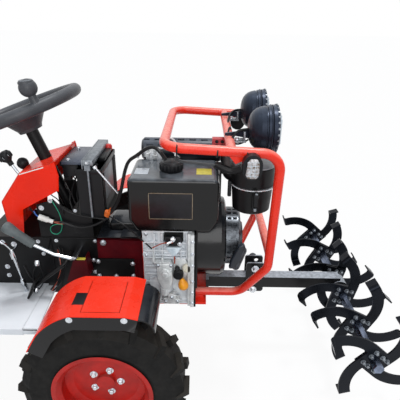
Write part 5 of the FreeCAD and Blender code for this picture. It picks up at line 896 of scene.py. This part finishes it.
# ----------------------------------------------------------------------- fenders
skirt_inset = 2.5   # the pressed skirts stand this far in, which leaves room for the bolt heads on them
for node, body in (("front_fender_skirts", FRONT), ("rear_fender_skirts", REAR)):
    panel = bmesh.new()
    panel.from_mesh(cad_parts[node].data)
    bmesh.ops.remove_doubles(panel, verts=panel.verts, dist=1e-6)
    outside = corners_of(node)[1].y - 6
    for corner in panel.verts:
        if abs(corner.co.y) > outside * MM:
            corner.co.y -= math.copysign(skirt_inset * MM, corner.co.y)
    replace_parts(fit(node.replace("fender_skirts", "skirt_panels"), mesh_of(panel), BLACK_GLOSS, body), node)
fender_top = corners_of("front_fenders")[1].z
blank_plate_span = (458, 514)          # distances from the middle of the tractor
crease_span = (396, 548)
crease, crease_rear, crease_front = 2.5, 162, 274
bolt_height = 590
for sign in (-1, 1):
    name = "right" if sign < 0 else "left"
    inner, outer = sorted(sign * edge for edge in blank_plate_span)
    fit("fender_blank_plate_" + name, moved(
        block((-17, inner, -0.4), (17, outer, 1.0), 0.4),
        Matrix.Translation(Vector((146 * MM, 0, (fender_top - 0.6) * MM)))), BLACK_PLASTIC)
    inner, outer = sorted(sign * edge for edge in crease_span)
    # The crease ridges take the darker rim red as painted shade along the fender's pressings.
    fit("fender_creases_" + name, [
        block((crease_rear, inner, fender_top - 1), (crease_rear + crease, outer, fender_top), 0.4),
        block((crease_front, inner, fender_top - 1), (crease_front + crease, outer, fender_top), 0.4),
        block((crease_rear, inner, fender_top - 1), (276, inner + crease, fender_top), 0.4),
    ], RIM_ENAMEL)
    edge = sign * (corners_of("front_fender_skirts")[1].y - skirt_inset)
    fasteners("skirt_bolts_" + name, [((x, edge, bolt_height), (0, sign, 0), 1.1) for x in (134, 290)],
              ZINC_PLATE,
              height=1.2, thick=0.6, sides=16)
    fit("skirt_rims_" + name, [
        cable([(22, edge - sign * 3, 478), (56, edge - sign * 3, 524), (104, edge - sign * 3, 556),
               (150, edge - sign * 3, 556), (290, edge - sign * 3, 556)], 4),
    ], BLACK_GLOSS)
    fasteners("rear_skirt_bolts_" + name,
              [((rear_axle + x, edge, bolt_height), (0, sign, 0), 1.1) for x in (-66, 90)],
              ZINC_PLATE, REAR, height=1.2, thick=0.6, sides=16)

# ---------------------------------------------------------------------- tine rotor
tip_rise, tip_reach = 39.12, 186.0   # a blade's tip, across and along from the shaft
hub_turn = math.degrees(math.atan2(tip_rise, tip_reach))
bolt_row = 28                        # the bolts' distance from the blade's root line
bolts = []
for number, along in enumerate((68, 246, 424)):
    for sign in (-1, 1):
        turn = math.radians(hub_turn + 15 * number)
        for quarter in range(4):
            angle = turn + quarter * math.pi / 2
            for run in (28, -6):
                x = run * math.cos(angle) - bolt_row * math.sin(angle)
                z = -run * math.sin(angle) - bolt_row * math.cos(angle)
                faces = sorted((sign * (along - 4), sign * (along + 10)))
                bolts.append(((rotor_x + x, faces[0], rotor_z + z), near, 1.25))
                bolts.append(((rotor_x + x, faces[1], rotor_z + z), far, 1.25))
fasteners("tine_bolts", bolts, GALVANISED, ROTOR, radius=5, height=6, washer=7)

# --------------------------------------------------- boards, bar plates and linkages
for sign, name in ((-1, "right"), (1, "left")):
    fit("footboard_nose_" + name, [
        pressed([(-104, sign * 132), (-62, sign * 132), (-48, sign * 384), (-104, sign * 384)], "z", 386,
                392, 1),
        pressed([(-104, sign * 380), (-49, sign * 380), (-49, sign * 384), (-104, sign * 384)], "z", 370,
                392, 0.8),
    ], TREAD_SHEET)
fasteners("tool_bar_bolts", [((732, side * 50, 429), (0, side, 0), 1.7) for side in (-1, 1)]
          + [((728, side * 50, 327), (0, side, 0), 1.7) for side in (-1, 1)], ZINC_PLATE)
fit("brake_linkage", [
    turned([(0, 0), (0, 5), (16, 9), (30, 9), (44, 5), (60, 5), (60, 0)], (-183, -196, 592), (0.2, 0, -1),
           20),
    turned(rod(4, 90), (-174, -196, 548), (0.13, 0, -1), 14),
    turned([(0, 0), (0, 7), (14, 9), (30, 7), (34, 4), (34, 0)], (-163, -196, 466), (0.1, 0, -1), 20),
    cable([(-216, -200, 630), (-196, -200, 618), (-184, -198, 596)], 7),
    turned([(0, 0), (0, 9), (10, 11), (20, 9), (20, 0)], (-97, -190, 546), (0, -0.4, -1), 20),
    turned([(0, 0), (0, 8), (9, 9), (16, 8), (16, 0)], (-121, -186, 418), (0, -0.5, -1), 20),
], CHROME)
fit("clutch_cables", [
    cable([(-97, -188, 540), (-112, -192, 510), (-126, -190, 470), (-122, -186, 424)], 7),
    cable([(-150, -186, 520), (-140, -190, 490), (-128, -188, 460), (-112, -180, 440)], 9),
    cable([(-96, -180, 520), (-84, -184, 480), (-88, -182, 440), (-112, -184, 412)], 5),
], BLACK_SHEATH)

# ------------------------------------------------------------------ steering wheel
wheel = bpy.data.objects["steering_wheel"].data
wheel_high = corners_of("steering_wheel")[1]
knob_radius = 29
crown = [vert.co / MM for vert in wheel.vertices if vert.co.z / MM > wheel_high.z - 14]   # the knob's top
knob_centre = Vector((sum(point.x for point in crown) / len(crown),
                      sum(point.y for point in crown) / len(crown),
                      wheel_high.z - knob_radius))
tilt = math.radians(20)   # the column leans back by this much
knob_way = Vector((-0.06, -0.03, 1))
fit("spinner_cap", [
    turned([(14, 0), (14, 25), (19, 24.6), (24, 21), (25, 0)], knob_centre, knob_way, 36),
], GRIP_FOAM, STEERING)
fit("spinner_cap_ring",
    turned([(22, 0), (22, 21.6), (24.6, 21), (25.4, 19), (25.4, 17), (24.8, 16), (24.8, 0)],
                               knob_centre, knob_way, 36), GREY_FILM, STEERING)
wheel_centre = Vector((front_axle - 350, 0, 1058))
lean_to = Matrix.Translation(wheel_centre * MM) @ Matrix.Rotation(-tilt, 4, "Y")
bars = []
for turn in (75, 195, 315):
    swing = Matrix.Rotation(math.radians(turn), 4, "Z")
    bars.append(moved(pressed([(70, -27), (98, -26), (200, -4), (200, 4), (98, -18), (70, -19)], "y", -15,
                              15, 1.5),
                      lean_to @ swing))
spoke_piece = fit("steering_spoke_bars", bars, ZINC_PLATE, STEERING)
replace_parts(spoke_piece, "steering_spokes")

# ------------------------------------------------------------------ starter handle
fit("starter_handle", [
    pressed([(612, 506), (618, 540), (646, 604), (664, 614), (672, 598), (650, 540), (636, 506)], "y", -170,
            -148, 6, 3),
], SHIELD_PAINT)

# -------------------------------------------------------------------------- seat
def cushion(node, shrink, swell):
    """A vinyl cushion blown up from a part's solid, which starts smaller and is held to the solid's box."""
    shape = bmesh.new()
    shape.from_mesh(bpy.data.objects[node].data)
    bmesh.ops.remove_doubles(shape, verts=shape.verts, dist=1e-5)
    low, high = (Vector(corner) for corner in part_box(node))
    middle = (low + high) / 2
    for vert in shape.verts:
        for axis in range(3):
            scale = 1 - 2 * shrink * MM / (high[axis] - low[axis])
            vert.co[axis] = middle[axis] + (vert.co[axis] - middle[axis]) * scale
    item = bpy.data.objects.new("pad_" + node, mesh_of(shape))
    scene.collection.objects.link(item)
    remesh = item.modifiers.new("remesh", "REMESH")
    remesh.mode = "VOXEL"
    remesh.voxel_size = 6 * MM
    bpy.context.view_layer.update()
    item.data = bpy.data.meshes.new_from_object(item.evaluated_get(bpy.context.evaluated_depsgraph_get()))
    item.modifiers.clear()
    before = [vert.co.copy() for vert in item.data.vertices]
    cloth = item.modifiers.new("cloth", "CLOTH")
    cloth.settings.use_pressure = True
    cloth.settings.uniform_pressure_force = 4
    cloth.settings.effector_weights.gravity = 0
    for number in range(1, 21):
        scene.frame_set(number)
    item.data = bpy.data.meshes.new_from_object(
        item.evaluated_get(bpy.context.evaluated_depsgraph_get()))
    item.modifiers.clear()
    scene.frame_set(1)
    for vert, start in zip(item.data.vertices, before):
        step = vert.co - start
        if step.length > swell * MM:
            vert.co = start + step.normalized() * swell * MM
        for axis in range(3):
            vert.co[axis] = min(max(vert.co[axis], low[axis]), high[axis])
    return item


def sewn(mesh, axis, place, face, side, least, depth=7):
    """Press one sewn channel into the cushion's face: a groove at a place along an axis, in mm."""
    width = 12   # from the middle of the groove to its edge
    for vert in mesh.vertices:
        apart = abs(vert.co[axis] / MM - place)
        if apart < width and vert.co[face] * side > least * side * MM:
            vert.co[face] -= side * depth * MM * math.cos(apart / width * math.pi / 2) ** 2


def round_loop(low, high, radius):
    """Points round a rectangle with rounded corners, in the plane of two axes."""
    points = []
    for centre, start in (((high[0] - radius, high[1] - radius), 0),
                          ((low[0] + radius, high[1] - radius), 90),
                          ((low[0] + radius, low[1] + radius), 180),
                          ((high[0] - radius, low[1] + radius), 270)):
        for step in range(5):
            turn = math.radians(start + 22.5 * step)
            points.append((centre[0] + radius * math.cos(turn), centre[1] + radius * math.sin(turn)))
    return points


seat_low, seat_high = corners_of("seat_cushion")
pad = cushion("seat_cushion", 6, 22)
for share in (0.3, 0.5, 0.7):
    sewn(pad.data, 1, seat_low.y + (seat_high.y - seat_low.y) * share, 2, 1, seat_high.z - 20)
seat_pad = fit("seat_cushion_vinyl", pad.data, SEAT_VINYL, REAR, 80)
bpy.data.objects.remove(pad)
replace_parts(seat_pad, "seat_cushion")
seam = round_loop((seat_low.x + 12, seat_low.y + 12), (seat_high.x - 12, seat_high.y - 12), 50)
fit("seat_cushion_piping", cable([(x, y, seat_low.z + 20) for x, y in seam], 6, closed=True), SEAT_VINYL,
    REAR)

back_low, back_high = corners_of("seat_back")
pad = cushion("seat_back", 5, 22)
for share in (0.3, 0.5, 0.7):
    sewn(pad.data, 1, back_low.y + (back_high.y - back_low.y) * share, 0, 1, (back_low.x + back_high.x) / 2,
         depth=6)
back_pad = fit("seat_back_vinyl", pad.data, SEAT_VINYL, REAR, 80)
bpy.data.objects.remove(pad)
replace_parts(back_pad, "seat_back")

# -------------------------------------------------------------------- rear dressing
tail_low, tail_high = corners_of("tail_lamps")
for sign, name in ((-1, "right"), (1, "left")):
    inner, outer = sorted((sign * 84, sign * 110))
    fit("tail_lens_red_" + name,
        block((tail_low.x - 1, inner, tail_low.z + 6), (tail_low.x + 6, outer, tail_high.z - 6),
                                       2.5, 3), RED_LENS, REAR)
    inner, outer = sorted((sign * 112, sign * 136))
    fit("tail_lens_amber_" + name, block((tail_low.x - 1, inner, tail_low.z + 6),
                                         (tail_low.x + 6, outer, tail_high.z - 6), 2.5, 3), AMBER_LENS,
        REAR)
deck_low, deck_high = corners_of("rear_deck")
chassis_low, chassis_high = corners_of("rear_chassis")
down = (0, 0, -1)
bolts_on("deck_bolts", "rear_deck", [(x, y, deck_high.z + 100) for x in (deck_low.x + 24, deck_low.x + 300,
                                                                         deck_high.x - 24)
                                     for y in (-160, 160)], down, 1.2, REAR)
bolts_on("fender_arm_bolts", "rear_deck", [(rear_axle + x, sign * y, deck_high.z + 100) for x in (-14, 14)
                                           for sign in (-1, 1) for y in (240, 330)], down, 0.9, REAR)
bolts_on("drawbar_bolts", "drawbar", [(deck_low.x - 22, y, deck_high.z) for y in (-30, 30)], down, 1.1,
         REAR)
for sign, name in ((-1, "right"), (1, "left")):
    side = (0, -sign, 0)
    bolts_on("rear_frame_bolts_" + name, "rear_chassis",
             [(x, sign * 700, z) for x in range(int(chassis_low.x) + 60, int(chassis_high.x), 140)
              for z in (chassis_low.z + 22, chassis_high.z - 22)], side, 1.2, REAR)
    bolts_on("seat_base_bolts_" + name, "seat_base",
             [(x, sign * 700, 500) for x in (-860, -760, -660, -560)], side, 1.0, REAR)
    bolts_on("front_frame_bolts_" + name, "chassis_frame",
             [(x, sign * 700, z) for x, z in ((-250, 470), (-250, 580), (-160, 380))], side, 1.1)
    for wheel_x, wheel in ((front_axle, "front"), (rear_axle, "rear")):
        ring = [(wheel_x + 48 * math.cos(math.tau * number / 5), sign * 700,
                 axle_height + 48 * math.sin(math.tau * number / 5)) for number in range(5)]
        bolts_on("wheel_bolts_" + wheel + "_" + name, "rim_" + wheel + "_" + name, ring, side, 1.4,
                 wheel + "_" + name + "_wheel")

# ------------------------------------------------------------------------ stage
def seen_direct(tree):
    """1 for rays from the camera, a mirror or a clear pane, 0 for the light that falls on the tractor."""
    path = add(tree, "ShaderNodeLightPath")
    direct = add(tree, "ShaderNodeMath",
                 links={0: path.outputs["Is Camera Ray"], 1: path.outputs["Is Glossy Ray"]},
                 operation="MAXIMUM")
    return add(tree, "ShaderNodeMath", links={0: direct.outputs[0], 1: path.outputs["Is Transmission Ray"]},
               operation="MAXIMUM").outputs[0]


FLOOR = bpy.data.materials.new("pale_floor")
FLOOR.use_nodes = True
tree = FLOOR.node_tree
tree.nodes.clear()
share = add(tree, "ShaderNodeMath", {1: 0.9}, {0: seen_direct(tree)}, operation="MULTIPLY")
matt = add(tree, "ShaderNodeBsdfDiffuse", {"Color": colour("c8cacc")})
white = add(tree, "ShaderNodeEmission", {"Color": (1, 1, 1, 1), "Strength": 1.03})
mixed = add(tree, "ShaderNodeMixShader",
            links={0: share.outputs[0], 1: matt.outputs[0], 2: white.outputs[0]})
add(tree, "ShaderNodeOutputMaterial", links={"Surface": mixed.outputs[0]})
sheet = bpy.data.meshes.new("floor")
sheet.from_pydata([(-30, -30, -0.001), (30, -30, -0.001), (30, 30, -0.001), (-30, 30, -0.001)], [],
                  [(0, 1, 2, 3)])
sheet.materials.append(FLOOR)
floor = bpy.data.objects.new("floor", sheet)
scene.collection.objects.link(floor)

world = bpy.data.worlds.new("studio")
scene.world = world
world.use_nodes = True
sky = world.node_tree
sky.nodes.clear()
soft = add(sky, "ShaderNodeBackground", {"Color": colour("eef2f8"), "Strength": 0.6})
white = add(sky, "ShaderNodeBackground", {"Color": (1, 1, 1, 1), "Strength": 1.0})
mixed = add(sky, "ShaderNodeMixShader",
            links={0: seen_direct(sky), 1: soft.outputs[0], 2: white.outputs[0]})
add(sky, "ShaderNodeOutputWorld", links={"Surface": mixed.outputs[0]})


def lamp(name, kind, energy, size, at, to):
    """One lamp aimed from a place to another."""
    light = bpy.data.lights.new(name, kind)
    light.energy = energy
    if kind == "SUN":
        light.angle = size
    else:
        light.size = size
    holder = bpy.data.objects.new(name, light)
    aim = (Vector(to) - Vector(at)).to_track_quat("-Z", "Y").to_matrix().to_4x4()
    holder.matrix_world = Matrix.Translation(at) @ aim
    scene.collection.objects.link(holder)


lamp("high_key", "SUN", 1.7, math.radians(10), (0.8, 0.5, 6.0), (0.0, -0.1, 0.5))
lamp("soft_front", "AREA", 60, 2.5, (0.6, -3.2, 2.2), (0.2, 0.0, 0.6))

# ----------------------------------------------------------------------- camera
camera = bpy.data.cameras.new("camera")
camera.lens = 37.35
camera.sensor_width = 36
camera.clip_end = 200
viewer = bpy.data.objects.new("camera", camera)
viewer.matrix_world = (Matrix.Translation((0.5, -1.49, 1.39)) @ Matrix.Rotation(math.radians(65.6), 4, "X")
                       @ Matrix.Rotation(math.radians(0.9), 4, "Z"))
scene.collection.objects.link(viewer)
scene.camera = viewer
scene.view_settings.view_transform = "Standard"
